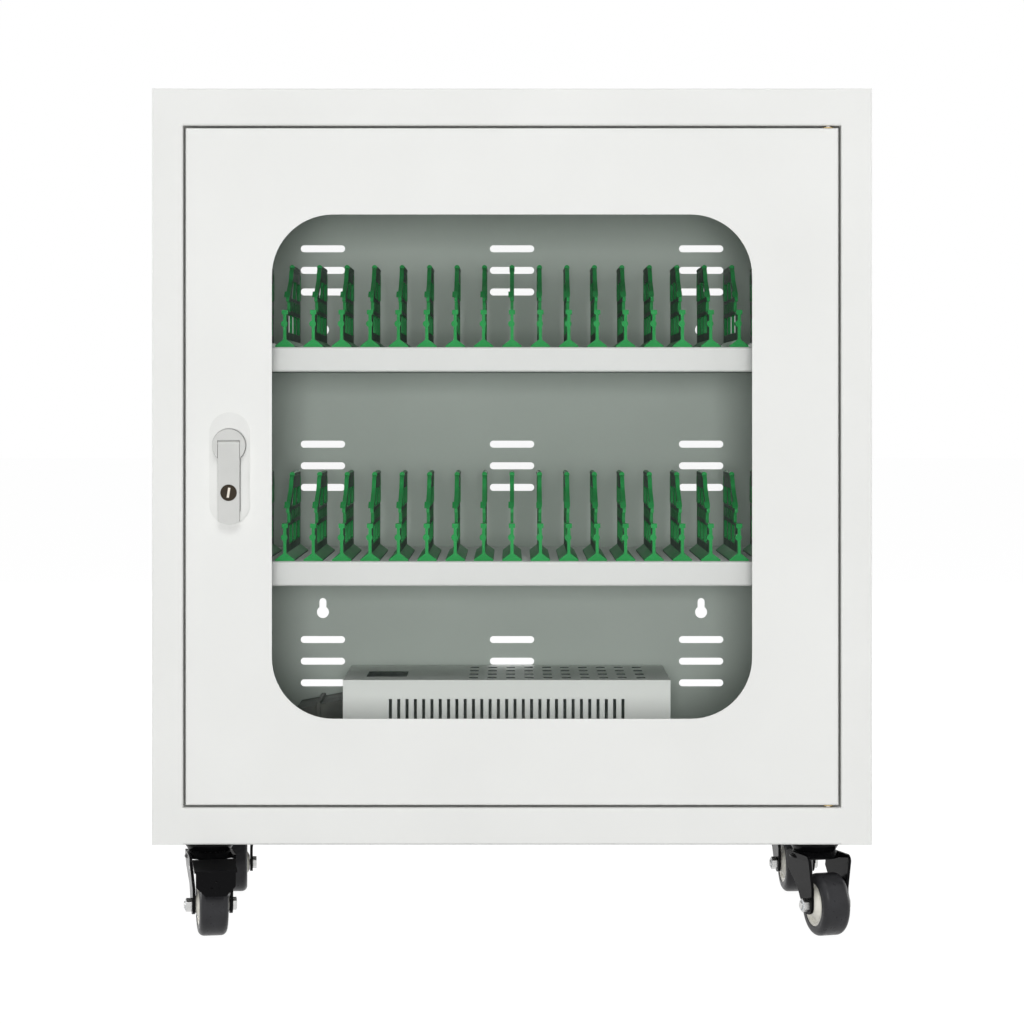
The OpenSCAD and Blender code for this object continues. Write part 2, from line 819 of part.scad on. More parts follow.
module door_panel() {
    color("whitesmoke") difference() {
        union() {
            difference() {
                door_block(0);
                door_block(sheet);
            }
            facing(door_t - sheet, sheet) translate([0, mid_z]) difference() {
                square([door_w, door_h], center = true);
                square([door_w - 2 * door_lip, door_h - 2 * door_lip], center = true);
            }
        }
        facing(-1, sheet + 2) translate([0, mid_z]) rounded_rect(win_w, win_h, win_r);
        facing(-1, sheet + 2) translate([lock_x, lock_z]) slot(housing_w + 2 * screw_clear,
            bezel_h - bezel_w + housing_w + 2 * screw_clear);
        for (z = [door_top, door_bottom]) translate([hinge_x, hinge_y, z])
            cylinder(r = bush_r + run_clear, h = 4 * sheet, center = true);
    }
}

module window_gasket() {
    color("dimgray") facing(sheet, gasket_t) translate([0, mid_z]) difference() {
        rounded_rect(glass_w, glass_h, glass_r);
        rounded_rect(win_w + 2, win_h + 2, win_r + 1);
    }
}

module window_glass() {
    color("honeydew", 0.3) facing(glass_depth, glass_t) translate([0, mid_z])
        rounded_rect(glass_w, glass_h, glass_r);
}

// Z-section ring that clamps the glass to the door
module glass_frame() {
    out_w = frame_in_w + 2 * sheet;
    out_h = frame_in_h + 2 * sheet;
    out_r = frame_in_r + sheet;
    color("gainsboro") translate([0, 0, mid_z]) difference() {
        union() {
            facing(sheet, sheet)
                rounded_rect(out_w + 2 * frame_flange, out_h + 2 * frame_flange, out_r + frame_flange);
            facing(sheet, frame_back) rounded_rect(out_w, out_h, out_r);
        }
        facing(0, frame_back) rounded_rect(frame_in_w, frame_in_h, frame_in_r);
        facing(0, 2 * frame_back) rounded_rect(win_w + 4, win_h + 4, win_r + 2);
        for (p = stud_places()) facing(0, 3 * sheet) translate(p) circle(stud_r + screw_clear);
    }
}

function stud_places() = concat(
    [for (x = [-1, 1], z = [-1 : 1]) [x * stud_x, z * (win_h / 2 - win_r - 10)]],
    [for (z = [-1, 1], x = [-1 : 1]) [x * (win_w / 2 - win_r - 10), z * stud_z]]
);

// Weld studs on the door skin, each with its flanged nut
module glass_frame_screws() {
    color("silver") translate([0, 0, mid_z]) for (p = stud_places()) {
        facing(sheet, 7) translate(p) circle(stud_r);
        facing(2 * sheet, 2.4) translate(p) circle(3, $fn = 6);
    }
}

module door_buffers() {
    rest = jamb_d - door_t - seat_clear;
    from_end = 40;
    color("dimgray") for (z = [-1, 1]) facing(door_t + seat_clear, rest)
        translate([-open_w / 2 + stop_reach / 2, mid_z + z * (door_h / 2 - from_end)])
            circle(stop_reach / 2 - 1);
}

// ---------------------------------------------------------------- lock

// Solid of revolution about the lock's spindle line, from out (forwards) back over t
module on_lock(z, out, t) {
    facing(-out, t) translate([lock_x, z]) children();
}

// Narrow relief round the head and along both sides of the handle
module relief() {
    line = 0.8;
    handle_low = lock_z - bezel_h / 2 + bezel_w / 3;
    difference() {
        union() {
            translate([0, head_z - lock_z]) circle(head_dia / 2 + line);
            translate([-handle_w / 2 - line, handle_low - lock_z])
                square([handle_w + 2 * line, head_z - handle_low]);
        }
        translate([0, head_z - lock_z]) circle(head_dia / 2);
        translate([-handle_w / 2, handle_low - lock_z - 1]) square([handle_w, head_z - handle_low]);
    }
}

module lock_bezel() {
    straight = bezel_h - bezel_w;
    chamfer = 1;
    relief_d = 2.2;
    color("silver") difference() {
        union() {
            on_lock(lock_z, bezel_t - chamfer, bezel_t - chamfer) slot(bezel_w, bezel_h);
            on_lock(lock_z, bezel_t, bezel_t) slot(bezel_w - 2 * chamfer, bezel_h - 2 * chamfer);
            on_lock(lock_z, bezel_t, bezel_t + housing_d) slot(housing_w, straight + housing_w);
        }
        on_lock(head_z, 2 * bezel_t, 3 * housing_d) circle(spindle_r + run_clear);
        on_lock(lock_z, bezel_t + 1, relief_d + 1) relief();
    }
}

module lock_head() {
    base_out = bezel_t + seat_clear;
    color("silver") difference() {
        union() {
            on_lock(head_z, lock_proud, head_t) circle(head_dia / 2);
            on_lock(head_z, base_out + 1, base_out + 1 + cam_depth - seat_clear) circle(spindle_r);
            on_lock(head_z, 0, cam_depth + cam_t - 0.2) square(spindle_square, center = true);
        }
        // Slot for the handle, open downwards
        on_lock(0, lock_proud + 1, head_t - head_base_t + 1)
            translate([-handle_w / 2 - 0.35, head_z - head_dia])
                square([handle_w + 0.7, handle_top + 0.4 - head_z + head_dia]);
        translate([lock_x, front_y - handle_pin_out, handle_pin_z]) rotate([0, 90, 0])
            cylinder(r = handle_pin_r + run_clear, h = handle_pin_len + 0.2, center = true);
        // Tapped hole for the cam screw
        on_lock(head_z, -cam_depth + 8, 30) circle(2 + run_clear);
    }
}

// Side outline of the handle in Y and Z: round nose on the pin, thin over the head, thick below it
module handle_side() {
    thin_low = head_z - head_dia / 2 - 0.5;
    low = lock_z - bezel_h / 2;
    face = front_y - lock_proud;
    translate([front_y - handle_pin_out, handle_pin_z]) circle(nose_r);
    translate([face, thin_low - 1]) square([2 * nose_r, handle_pin_z - thin_low + 1]);
    translate([face, low]) square([lock_proud - handle_back, thin_low - low]);
}

module lock_handle() {
    color("lightgray") difference() {
        intersection() {
            across(lock_x - handle_w / 2, handle_w) handle_side();
            on_lock(lock_z, 2 * lock_proud, 2 * lock_proud) slot(bezel_w - 1, bezel_h - 1);
        }
        on_lock(lock_z - key_drop, 2 * lock_proud, 2 * lock_proud) circle(key_dia / 2 + run_clear);
        translate([lock_x, front_y - handle_pin_out, handle_pin_z]) rotate([0, 90, 0])
            cylinder(r = handle_pin_r + run_clear, h = 2 * handle_w, center = true);
    }
}

module lock_handle_pin() {
    color("silver") translate([lock_x, front_y - handle_pin_out, handle_pin_z]) rotate([0, 90, 0])
        cylinder(r = handle_pin_r, h = handle_pin_len, center = true);
}

module key_cylinder() {
    slit = [1.3, 8];
    slit_lean = 8;
    lip = 0.4;
    color("saddlebrown") difference() {
        on_lock(lock_z - key_drop, lock_proud + lip, head_t - seat_clear) circle(key_dia / 2);
        on_lock(lock_z - key_drop, lock_proud + 2 * lip, 5) rotate(-slit_lean) square(slit, center = true);
    }
}

// The cam stands upright at rest, clear of the jamb; turned it lies behind the left stop
module lock_cam() {
    w = 20;
    color("silver") on_lock(head_z, -cam_depth, cam_t) difference() {
        union() {
            circle(w / 2);
            translate([-w / 2, 0]) square([w, cam_len - 4]);
            translate([-w / 2 + 4, 0]) square([w - 8, cam_len]);
            for (s = [-1, 1]) translate([s * (w / 2 - 4), cam_len - 4]) circle(4);
        }
        square(spindle_square + 2 * run_clear, center = true);
    }
}

module cam_screw() {
    color("silver") {
        on_lock(head_z, -cam_depth - cam_t, 3) circle(5.5);
        on_lock(head_z, -cam_depth + 6, cam_t + 8) circle(2);
    }
}

// ---------------------------------------------------------------- casters

// Places a caster modelled about its stem, with the wheel towards -Y
module at_caster(side, row_y, yaw) {
    translate([side * caster_x, row_y, 0]) rotate([0, 0, yaw]) children();
}

// Turns a shape drawn about Z onto the wheel's axle
module on_axle() {
    translate([0, -trail, axle_z]) rotate([0, 90, 0]) children();
}

// Bearing cup with its threaded stem above and the headed kingpin below
module stem() {
    rivet_r = kingpin_r + 2.5;
    rivet_t = 2;
    rivet_z = crown_top - crown_plate - seat_clear - rivet_t;
    tail_r = 1;
    tail_len = 7;
    color("dimgray") difference() {
        union() {
            translate([0, 0, caster_h - cup_lip]) cylinder(r = cup_r, h = cup_lip);
            translate([0, 0, caster_h - cup_t])
                cylinder(r1 = cup_r - cup_in, r2 = cup_r, h = cup_t - cup_lip);
            translate([0, 0, caster_h]) cylinder(r = stem_r, h = sheet + nut_t + 2);
            translate([0, 0, rivet_z]) cylinder(r = kingpin_r, h = caster_h - cup_lip / 2 - rivet_z);
            translate([0, 0, rivet_z]) cylinder(r = rivet_r, h = rivet_t);
            translate([0, 0, rivet_z - tail_len]) cylinder(r = tail_r, h = tail_len + rivet_t / 2);
        }
        translate([0, 0, caster_h - cup_t - 1]) rotate_extrude()
            translate([race_in, 0]) square([race_out - race_in, race_t + 1]);
    }
}

// Side outline of a leg in Y and Z: wide at the crown, drawn in to the boss round the axle
module leg_side() {
    shoulder_r = 6;
    high = crown_top - 1;
    polygon([
        [leg_back, high], [shoulder_r - leg_front, high], [-leg_front, high - shoulder_r],
        [-trail - boss_r, axle_z], [-trail + boss_r - 2, axle_z - boss_r / 2 - 1],
        [-trail + 2 * boss_r, axle_z + boss_r / 2], [-trail + 2.5 * boss_r, axle_z + boss_r + 2],
        [leg_back, crown_bottom - 10]
    ]);
    translate([shoulder_r - leg_front, high - shoulder_r]) circle(shoulder_r);
    translate([-trail, axle_z]) circle(boss_r);
}

// Front outline of a leg in X and Z: upright beside the wheel, then splayed out to the crown
module leg_splay() {
    bend_z = axle_z + 14;
    inner = fork_gap / 2;
    outer = fork_w / 2;
    polygon([
        [inner, 0], [outer, 0], [outer, bend_z], [outer + fork_splay, crown_bottom],
        [outer + fork_splay, crown_top], [inner + fork_splay, crown_top],
        [inner + fork_splay, crown_bottom], [inner, bend_z]
    ]);
}

module leg() {
    intersection() {
        across(0, 2 * fork_w) leg_side();
        rotate([90, 0, 0]) linear_extrude(4 * leg_front, center = true) leg_splay();
    }
}

// Pressed fork: a flared crown, hollow below, with a leg on each side
module fork(braked = false) {
    color("dimgray") difference() {
        union() {
            difference() {
                union() {
                    translate([0, 0, crown_bottom + crown_lip])
                        cylinder(r1 = crown_r, r2 = crown_r - crown_in, h = crown_t - crown_lip);
                    translate([0, 0, crown_bottom]) cylinder(r = crown_r, h = crown_lip);
                }
                translate([0, 0, crown_bottom - 1])
                    cylinder(r = crown_r - crown_in - fork_t, h = crown_t - crown_plate + 1);
            }
            for (s = [0, 1]) mirror([s, 0, 0]) leg();
        }
        translate([0, 0, crown_bottom - 1]) cylinder(r = kingpin_r + run_clear, h = crown_t + 2);
        on_axle() cylinder(r = axle_r + run_clear, h = 2 * fork_w, center = true);
        if (braked) at_pedal_pivot() cylinder(r = pedal_pin_r + run_clear, h = 2 * fork_w, center = true);
    }
}

// Half of the core's section: a lip under the tyre, a channel, and a cone up to the hub's face
module rim_half() {
    hub_r = 7.5;
    hub_half = fork_gap / 2 - seat_clear;
    tyre_in = wheel_r - tyre_t;
    lip_in = tyre_in - 2.5;
    lip_half = tyre_w / 2 - 0.5;
    channel = lip_half - 1.8;
    polygon([
        [0, 0], [tyre_in, 0], [tyre_in, lip_half], [lip_in, lip_half], [lip_in - 0.6, channel],
        [lip_in - 2.5, channel], [hub_r + 1, hub_half - 1.2], [hub_r, hub_half], [0, hub_half]
    ]);
}

module wheel_rim() {
    color("antiquewhite") on_axle() difference() {
        rotate_extrude() {
            rim_half();
            mirror([0, 1]) rim_half();
        }
        cylinder(r = axle_r + run_clear, h = 2 * fork_w, center = true);
    }
}

module tyre() {
    round_r = 5;
    tread = tyre_w / 2 - round_r;
    color("darkslategray") on_axle() rotate_extrude() {
        translate([wheel_r - tyre_t, -tyre_w / 2]) square([tyre_t - round_r, tyre_w]);
        translate([wheel_r - tyre_t, -tread]) square([tyre_t, 2 * tread]);
        for (s = [-1, 1]) translate([wheel_r - round_r, s * tread]) intersection() {
            circle(round_r);
            translate([0, -round_r]) square([round_r, 2 * round_r]);
        }
    }
}

// Bolt with its head on one leg and a nut on the other
module axle() {
    locknut_t = 5;
    thread_end = 1.5;
    head_t = 3.5;
    color("silver") on_axle() {
        translate([0, 0, -fork_w / 2 - locknut_t - thread_end])
            cylinder(r = axle_r, h = fork_w + locknut_t + thread_end + head_t / 2);
        translate([0, 0, fork_w / 2]) hex(1.85 * axle_r, head_t);
        difference() {
            translate([0, 0, -fork_w / 2 - locknut_t]) hex(1.95 * axle_r, locknut_t);
            translate([0, 0, -fork_w]) cylinder(r = axle_r + run_clear, h = fork_w);
        }
    }
}

module at_pedal_pivot() {
    translate([0, -pedal_pivot_u, pedal_pivot_z]) rotate([0, 90, 0]) children();
}

// Side outline of the tread and the face that hangs in front of the wheel, in Y and Z
tread_back = pedal_pivot_u + 9;
tread_high = pedal_pivot_z + 7.5;
tread_low = pedal_pivot_z - 0.5;
face_low = axle_z + 20;
tongue_low = axle_z + 12;
face_front = pedal_reach - 0.4;

module tread_side() {
    polygon([
        [-tread_back, tread_high], [-pedal_reach, tread_low + pedal_t], [-pedal_reach, tread_low],
        [-pedal_reach + pedal_t, tread_low], [-tread_back, tread_high - pedal_t]
    ]);
}

// Side outline of the arms from the pivot to the face
module arm_side() {
    eye_r = 5;
    polygon([
        [-pedal_pivot_u + 1, pedal_pivot_z - eye_r + 0.5], [-pedal_pivot_u - 3, pedal_pivot_z + eye_r - 1],
        [-tread_back, tread_high - pedal_t / 2], [-face_front + 0.6, tread_low + 1],
        [-face_front + 0.6, face_low + 4], [-tread_back - 6, pedal_pivot_z - 3]
    ]);
    translate([-pedal_pivot_u, pedal_pivot_z]) circle(eye_r);
}

// Face that hangs in front of the wheel, with a tongue drawn in below and three dimple holes
module pedal_face() {
    face_w = pedal_w - 2.4;
    tongue_w = 17;
    top_z = tread_low + 1;
    hole_r = 0.7;
    translate([0, -face_front + pedal_t, 0]) rotate([90, 0, 0]) linear_extrude(pedal_t) difference() {
        polygon([
            [-face_w / 2, top_z], [-face_w / 2, face_low], [-tongue_w / 2, tongue_low],
            [tongue_w / 2, tongue_low], [face_w / 2, face_low], [face_w / 2, top_z]
        ]);
        for (hole = [[0, 12], [-3.4, 7], [3.4, 7]]) translate([hole.x, tongue_low + hole.y]) circle(hole_r);
    }
}

module brake_pedal() {
    arm_out = (fork_gap + fork_splay) / 2 - seat_clear;
    arm_t = 2;
    color("dimgray") at_front_left() difference() {
        union() {
            across(-pedal_w / 2, pedal_w) tread_side();
            pedal_face();
            for (s = [0, 1]) mirror([s, 0, 0]) across(arm_out - arm_t, arm_t) arm_side();
        }
        at_pedal_pivot() cylinder(r = pedal_pin_r + run_clear, h = 2 * fork_w, center = true);
    }
}

module brake_pedal_pin() {
    color("silver") at_front_left() at_pedal_pivot()
        cylinder(r = pedal_pin_r, h = fork_w + 2 * fork_splay, center = true);
}

module at_front_left() { at_caster(-1, front_y + caster_inset, yaw_front_left) children(); }
module at_front_right() { at_caster(1, front_y + caster_inset, yaw_front_right) children(); }
module at_rear_left() { at_caster(-1, back_y - caster_inset, yaw_rear_left) children(); }
module at_rear_right() { at_caster(1, back_y - caster_inset, yaw_rear_right) children(); }

module at_all_casters() {
    at_front_left() children();
    at_front_right() children();
    at_rear_left() children();
    at_rear_right() children();
}

// Nuts on the stems inside the cabinet
module caster_nuts() {
    color("silver") at_all_casters() translate([0, 0, caster_h + sheet]) difference() {
        hex(1.85 * stem_r, nut_t);
        translate([0, 0, -1]) cylinder(r = stem_r + run_clear, h = nut_t + 2);
    }
}

// Ball races in the grooves of the cups
module swivel_bearings() {
    color("silver") at_all_casters() translate([0, 0, caster_h - cup_t]) difference() {
        cylinder(r = race_out - run_clear, h = race_t);
        translate([0, 0, -1]) cylinder(r = race_in + run_clear, h = race_t + 2);
    }
}

// ---------------------------------------------------------------- the assembly

left_side_panel();
right_side_panel();
top_panel();
bottom_panel();
back_panel();
upper_shelf();
upper_shelf_cover();
lower_shelf();
lower_shelf_cover();
shelf_brackets();
upper_dividers();
lower_dividers();
power_box_base();
power_box_cover();
supply_board();
supply_components();
inlet_housing();
inlet_pins();
upper_hinge_bracket();
lower_hinge_bracket();
hinge_pins();
hinge_bushes();
door_panel();
glass_frame();
window_glass();
window_gasket();
glass_frame_screws();
door_buffers();
lock_bezel();
lock_head();
lock_handle();
lock_handle_pin();
key_cylinder();
lock_cam();
cam_screw();
at_front_left() stem();  // front_left_stem
at_front_left() fork(braked = true);  // front_left_fork
at_front_left() wheel_rim();  // front_left_rim
at_front_left() tyre();  // front_left_tyre
at_front_left() axle();  // front_left_axle
at_front_right() stem();  // front_right_stem
at_front_right() fork();  // front_right_fork
at_front_right() wheel_rim();  // front_right_rim
at_front_right() tyre();  // front_right_tyre
at_front_right() axle();  // front_right_axle
at_rear_left() stem();  // rear_left_stem
at_rear_left() fork();  // rear_left_fork
at_rear_left() wheel_rim();  // rear_left_rim
at_rear_left() tyre();  // rear_left_tyre
at_rear_left() axle();  // rear_left_axle
at_rear_right() stem();  // rear_right_stem
at_rear_right() fork();  // rear_right_fork
at_rear_right() wheel_rim();  // rear_right_rim
at_rear_right() tyre();  // rear_right_tyre
at_rear_right() axle();  // rear_right_axle
caster_nuts();
swivel_bearings();
brake_pedal();
brake_pedal_pin();
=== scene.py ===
"""A steel locker cabinet for phones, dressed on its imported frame: glazed door, flip-handle lock, two
shelves of green moulded dividers, a vented power box and four swivel casters with one brake."""
import json
from math import cos, pi, radians, sin

import bmesh
import bpy
from mathutils import Matrix, Vector

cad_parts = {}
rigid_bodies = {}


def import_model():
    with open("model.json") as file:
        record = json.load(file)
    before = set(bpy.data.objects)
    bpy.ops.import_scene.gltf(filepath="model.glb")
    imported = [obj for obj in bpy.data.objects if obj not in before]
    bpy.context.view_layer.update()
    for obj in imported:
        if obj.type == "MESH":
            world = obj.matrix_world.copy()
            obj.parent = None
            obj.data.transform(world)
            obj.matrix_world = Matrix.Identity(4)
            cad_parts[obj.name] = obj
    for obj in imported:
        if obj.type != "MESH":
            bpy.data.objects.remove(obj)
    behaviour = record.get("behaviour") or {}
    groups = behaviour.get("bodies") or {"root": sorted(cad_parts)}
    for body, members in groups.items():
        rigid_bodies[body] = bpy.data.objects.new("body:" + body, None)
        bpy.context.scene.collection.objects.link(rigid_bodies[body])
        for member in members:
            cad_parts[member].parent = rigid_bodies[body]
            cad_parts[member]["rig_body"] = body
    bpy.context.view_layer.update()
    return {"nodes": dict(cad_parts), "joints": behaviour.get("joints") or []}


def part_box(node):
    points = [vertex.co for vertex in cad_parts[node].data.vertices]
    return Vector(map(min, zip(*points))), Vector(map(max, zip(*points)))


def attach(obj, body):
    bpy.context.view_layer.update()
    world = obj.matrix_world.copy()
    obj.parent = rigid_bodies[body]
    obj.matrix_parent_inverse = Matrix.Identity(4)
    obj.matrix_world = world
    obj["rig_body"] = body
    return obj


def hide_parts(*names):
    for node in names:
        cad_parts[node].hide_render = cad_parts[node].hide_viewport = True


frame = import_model()
nodes = frame["nodes"]
joints = {joint["name"]: joint for joint in frame["joints"]}
MM = 0.001

# ---- Steel body -----------------------------------------------------------------------------------
# Two sides, a top and a bottom of 1.2 mm sheet, folded round the door opening and round the back and
# welded. They are sprayed with a white powder coat, which cures to a fine orange peel.


def new_finish(name, colour, roughness, metallic=0.0, gloss=0.5):
    material = bpy.data.materials.new(name)
    material.use_nodes = True
    shader = material.node_tree.nodes["Principled BSDF"]
    shader.inputs["Base Color"].default_value = (*colour, 1.0)
    shader.inputs["Roughness"].default_value = roughness
    shader.inputs["Metallic"].default_value = metallic
    shader.inputs["Specular IOR Level"].default_value = gloss
    return material


def grain(material, scale, detail=2.0, stretch=(1.0, 1.0, 1.0)):
    """Noise in the piece's own space; scale is in features per metre."""
    tree = material.node_tree
    place = tree.nodes.new("ShaderNodeTexCoord")
    mapping = tree.nodes.new("ShaderNodeMapping")
    mapping.inputs["Scale"].default_value = stretch
    noise = tree.nodes.new("ShaderNodeTexNoise")
    noise.inputs["Scale"].default_value = scale
    noise.inputs["Detail"].default_value = detail
    tree.links.new(place.outputs["Object"], mapping.inputs["Vector"])
    tree.links.new(mapping.outputs["Vector"], noise.inputs["Vector"])
    return noise.outputs["Fac"]


# Most values of a noise lie between these two.
NOISE_LOW, NOISE_HIGH = 0.3, 0.7


def vary_colour(material, factor, low, high, start=NOISE_LOW, end=NOISE_HIGH):
    """Blends the base colour from low to high as factor goes from start to end."""
    tree = material.node_tree
    ramp = tree.nodes.new("ShaderNodeMapRange")
    ramp.inputs["From Min"].default_value = start
    ramp.inputs["From Max"].default_value = end
    mix = tree.nodes.new("ShaderNodeMix")
    mix.data_type = "RGBA"
    mix.inputs["A"].default_value = (*low, 1.0)
    mix.inputs["B"].default_value = (*high, 1.0)
    tree.links.new(factor, ramp.inputs["Value"])
    tree.links.new(ramp.outputs["Result"], mix.inputs["Factor"])
    tree.links.new(mix.outputs["Result"], tree.nodes["Principled BSDF"].inputs["Base Color"])


def vary_roughness(material, factor, low, high):
    """Takes the roughness from low to high as the noise grows."""
    tree = material.node_tree
    ramp = tree.nodes.new("ShaderNodeMapRange")
    ramp.inputs["From Min"].default_value = NOISE_LOW
    ramp.inputs["From Max"].default_value = NOISE_HIGH
    ramp.inputs["To Min"].default_value = low
    ramp.inputs["To Max"].default_value = high
    tree.links.new(factor, ramp.inputs["Value"])
    tree.links.new(ramp.outputs["Result"], tree.nodes["Principled BSDF"].inputs["Roughness"])


def emboss(material, height, depth, strength=1.0):
    """Bumps the surface by height, at most depth metres deep."""
    tree = material.node_tree
    bump = tree.nodes.new("ShaderNodeBump")
    bump.inputs["Distance"].default_value = depth
    bump.inputs["Strength"].default_value = strength
    tree.links.new(height, bump.inputs["Height"])
    tree.links.new(bump.outputs["Normal"], tree.nodes["Principled BSDF"].inputs["Normal"])


def powder_coat(name, low, high, rough=0.55):
    """Paint with a fine orange peel, whose colour drifts from low to high."""
    material = new_finish(name, high, rough, gloss=0.4)
    vary_colour(material, grain(material, 7.0), low, high)
    vary_roughness(material, grain(material, 60.0), rough - 0.05, rough + 0.06)
    emboss(material, grain(material, 850.0, 1.5), 0.03 * MM, 0.5)
    return material


def dress(material, *names):
    """Gives CAD nodes a finish and leaves their meshes as they are."""
    for name in names:
        for place in nodes[name].material_slots:
            place.material = material


def paint_faces(piece, finish, chosen):
    """Gives a second finish to the faces of a piece that chosen picks."""
    piece.data.materials.append(finish)
    for face in piece.data.polygons:
        if chosen(face):
            face.material_index = 1


def round_edges(mesh, width, segments=2, angle=30.0):
    """Bevels every edge that is sharper than angle degrees by width metres."""
    sharp = [e for e in mesh.edges if e.is_manifold and e.calc_face_angle(0.0) > radians(angle)]
    bmesh.ops.bevel(mesh, geom=sharp, offset=width, offset_type="OFFSET", segments=segments,
                    profile=0.5, affect="EDGES", clamp_overlap=True, material=-1)


def make_piece(name, mesh, finish, body, slot, *stands_for, smooth=30.0):
    """Turns a bmesh into a piece that rides on a body, shaded smooth over edges up to smooth degrees."""
    data = bpy.data.meshes.new(name)
    mesh.to_mesh(data)
    mesh.free()
    data.shade_smooth()
    data.set_sharp_from_angle(angle=radians(smooth))
    data.materials.clear()
    data.materials.append(finish)
    piece = bpy.data.objects.new(name, data)
    bpy.context.scene.collection.objects.link(piece)
    even = piece.modifiers.new("Even shading", "WEIGHTED_NORMAL")
    even.keep_sharp = True
    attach(piece, body)
    if stands_for:
        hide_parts(*stands_for)
    return piece


WELD = 0.002 * MM
FLAT_WITHIN = 0.8
SMOOTH_PAST = 5.0


def softened(name, width, finish, slot, segments=2, angle=30.0, shaped=None):
    """Stands in for a CAD node, with its edges rounded to width metres and its bends shaded smooth.

    shaped, if given, moves the vertices of the copy before its edges are rounded."""
    mesh = bmesh.new()
    mesh.from_mesh(nodes[name].data)
    bmesh.ops.remove_doubles(mesh, verts=mesh.verts, dist=WELD)
    bmesh.ops.dissolve_limit(mesh, angle_limit=radians(FLAT_WITHIN), verts=mesh.verts, edges=mesh.edges)
    if shaped:
        shaped(mesh)
    round_edges(mesh, width, segments, angle)
    return make_piece(f"{name}_dressed", mesh, finish, nodes[name]["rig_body"], slot, name,
                      smooth=angle + SMOOTH_PAST)


body_paint = powder_coat("White powder coat", (0.80, 0.805, 0.785), (0.83, 0.835, 0.815))
for panel in ("left_side_panel", "right_side_panel", "top_panel", "bottom_panel"):
    softened(panel, 0.15 * MM, body_paint, "cabinet_paint", segments=1)

# ---- Back panel -----------------------------------------------------------------------------------
# One flat sheet inside the back flanges, punched with three columns of vent slots, four keyholes and
# two hanging holes. It is white outside; its inner face is painted a darker grey-green as painted shade.

back_low, back_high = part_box("back_panel")
back_mid_y = (back_low.y + back_high.y) / 2


def white_outside_painted_shade_inside(name, inner_shade_low, inner_shade_high, outer):
    """White outside and a darker grey-green inside as painted shade, told apart by the mid plane of the
    sheet.
    """
    material = powder_coat(name, inner_shade_low, inner_shade_high)
    tree = material.node_tree
    place = tree.nodes.new("ShaderNodeTexCoord")
    split = tree.nodes.new("ShaderNodeSeparateXYZ")
    outside = tree.nodes.new("ShaderNodeMath")
    outside.operation = "GREATER_THAN"
    outside.inputs[1].default_value = back_mid_y
    mix = tree.nodes.new("ShaderNodeMix")
    mix.data_type = "RGBA"
    mix.inputs["B"].default_value = (*outer, 1.0)
    base = tree.nodes["Principled BSDF"].inputs["Base Color"]
    tree.links.new(base.links[0].from_socket, mix.inputs["A"])
    tree.links.new(place.outputs["Object"], split.inputs["Vector"])
    tree.links.new(split.outputs["Y"], outside.inputs[0])
    tree.links.new(outside.outputs["Value"], mix.inputs["Factor"])
    tree.links.new(mix.outputs["Result"], base)
    return material


# Painted shade: the inner face of the sheet is coloured a darker grey-green than the white outside.
back_coat_painted_shade_inside = white_outside_painted_shade_inside("Back panel coat, painted shade inside", (0.53, 0.59, 0.54), (0.57, 0.63, 0.58),
                            (0.82, 0.825, 0.805))
softened("back_panel", 0.12 * MM, back_coat_painted_shade_inside, "inner_paint", segments=1)

# ---- Shelves --------------------------------------------------------------------------------------
# Folded pans with a 21 mm front lip, closed underneath by a cover, that rest on an
# angle bracket on each side wall. The pans carry a white coat like the body's; the covers are painted dark
# grey as painted shade under the shelves.

shelf_paint = powder_coat("Shelf coat", (0.79, 0.80, 0.78), (0.82, 0.83, 0.81))
# Painted shade: the covers under the shelves are coloured dark grey for the shade that falls there.
shelf_underside_painted_shade = powder_coat("Shelf underside painted shade", (0.16, 0.18, 0.165), (0.20, 0.22, 0.205), 0.5)
for shelf in ("upper_shelf", "lower_shelf"):
    softened(shelf, 0.12 * MM, shelf_paint, "inner_paint", segments=1)
    dress(shelf_underside_painted_shade, f"{shelf}_cover")
softened("shelf_brackets", 0.12 * MM, shelf_paint, "inner_paint", segments=1)

# ---- Dividers -------------------------------------------------------------------------------------
# Injection-moulded green plastic, one open web each with a wide foot, guide nubs on its front edge
# and a round rod along its top. The upper half leans back. The flats of the web that look sideways
# are painted a dark grey-green as painted shade, while the edges keep the bright green.

divider_green = new_finish("Green moulding", (0.026, 0.31, 0.078), 0.4, gloss=0.2)
vary_colour(divider_green, grain(divider_green, 22.0), (0.021, 0.27, 0.064), (0.031, 0.35, 0.092))
vary_roughness(divider_green, grain(divider_green, 300.0), 0.34, 0.46)
emboss(divider_green, grain(divider_green, 420.0, 3.0), 0.04 * MM, 0.4)
# Painted shade: the sideways flats of each web are coloured a dark grey-green.
web_painted_shade = new_finish("Web painted shade", (0.12, 0.165, 0.13), 0.6, gloss=0.1)
vary_colour(web_painted_shade, grain(web_painted_shade, 40.0, 3.0), (0.09, 0.13, 0.10), (0.15, 0.20, 0.16))
emboss(web_painted_shade, grain(web_painted_shade, 900.0, 2.0), 0.03 * MM, 0.5)

# Heights above the foot between which the lean sets in, how far it goes and how much height it costs.
LEAN_FROM = 40 * MM
LEAN_TO = 66 * MM
LEAN_BACK = 33 * MM
LEAN_DROP = 2.6 * MM
PADDLE_FRONT = 31 * MM
# A face whose normal has more than this share along an axis looks along it.
LOOKS_ALONG = 0.9


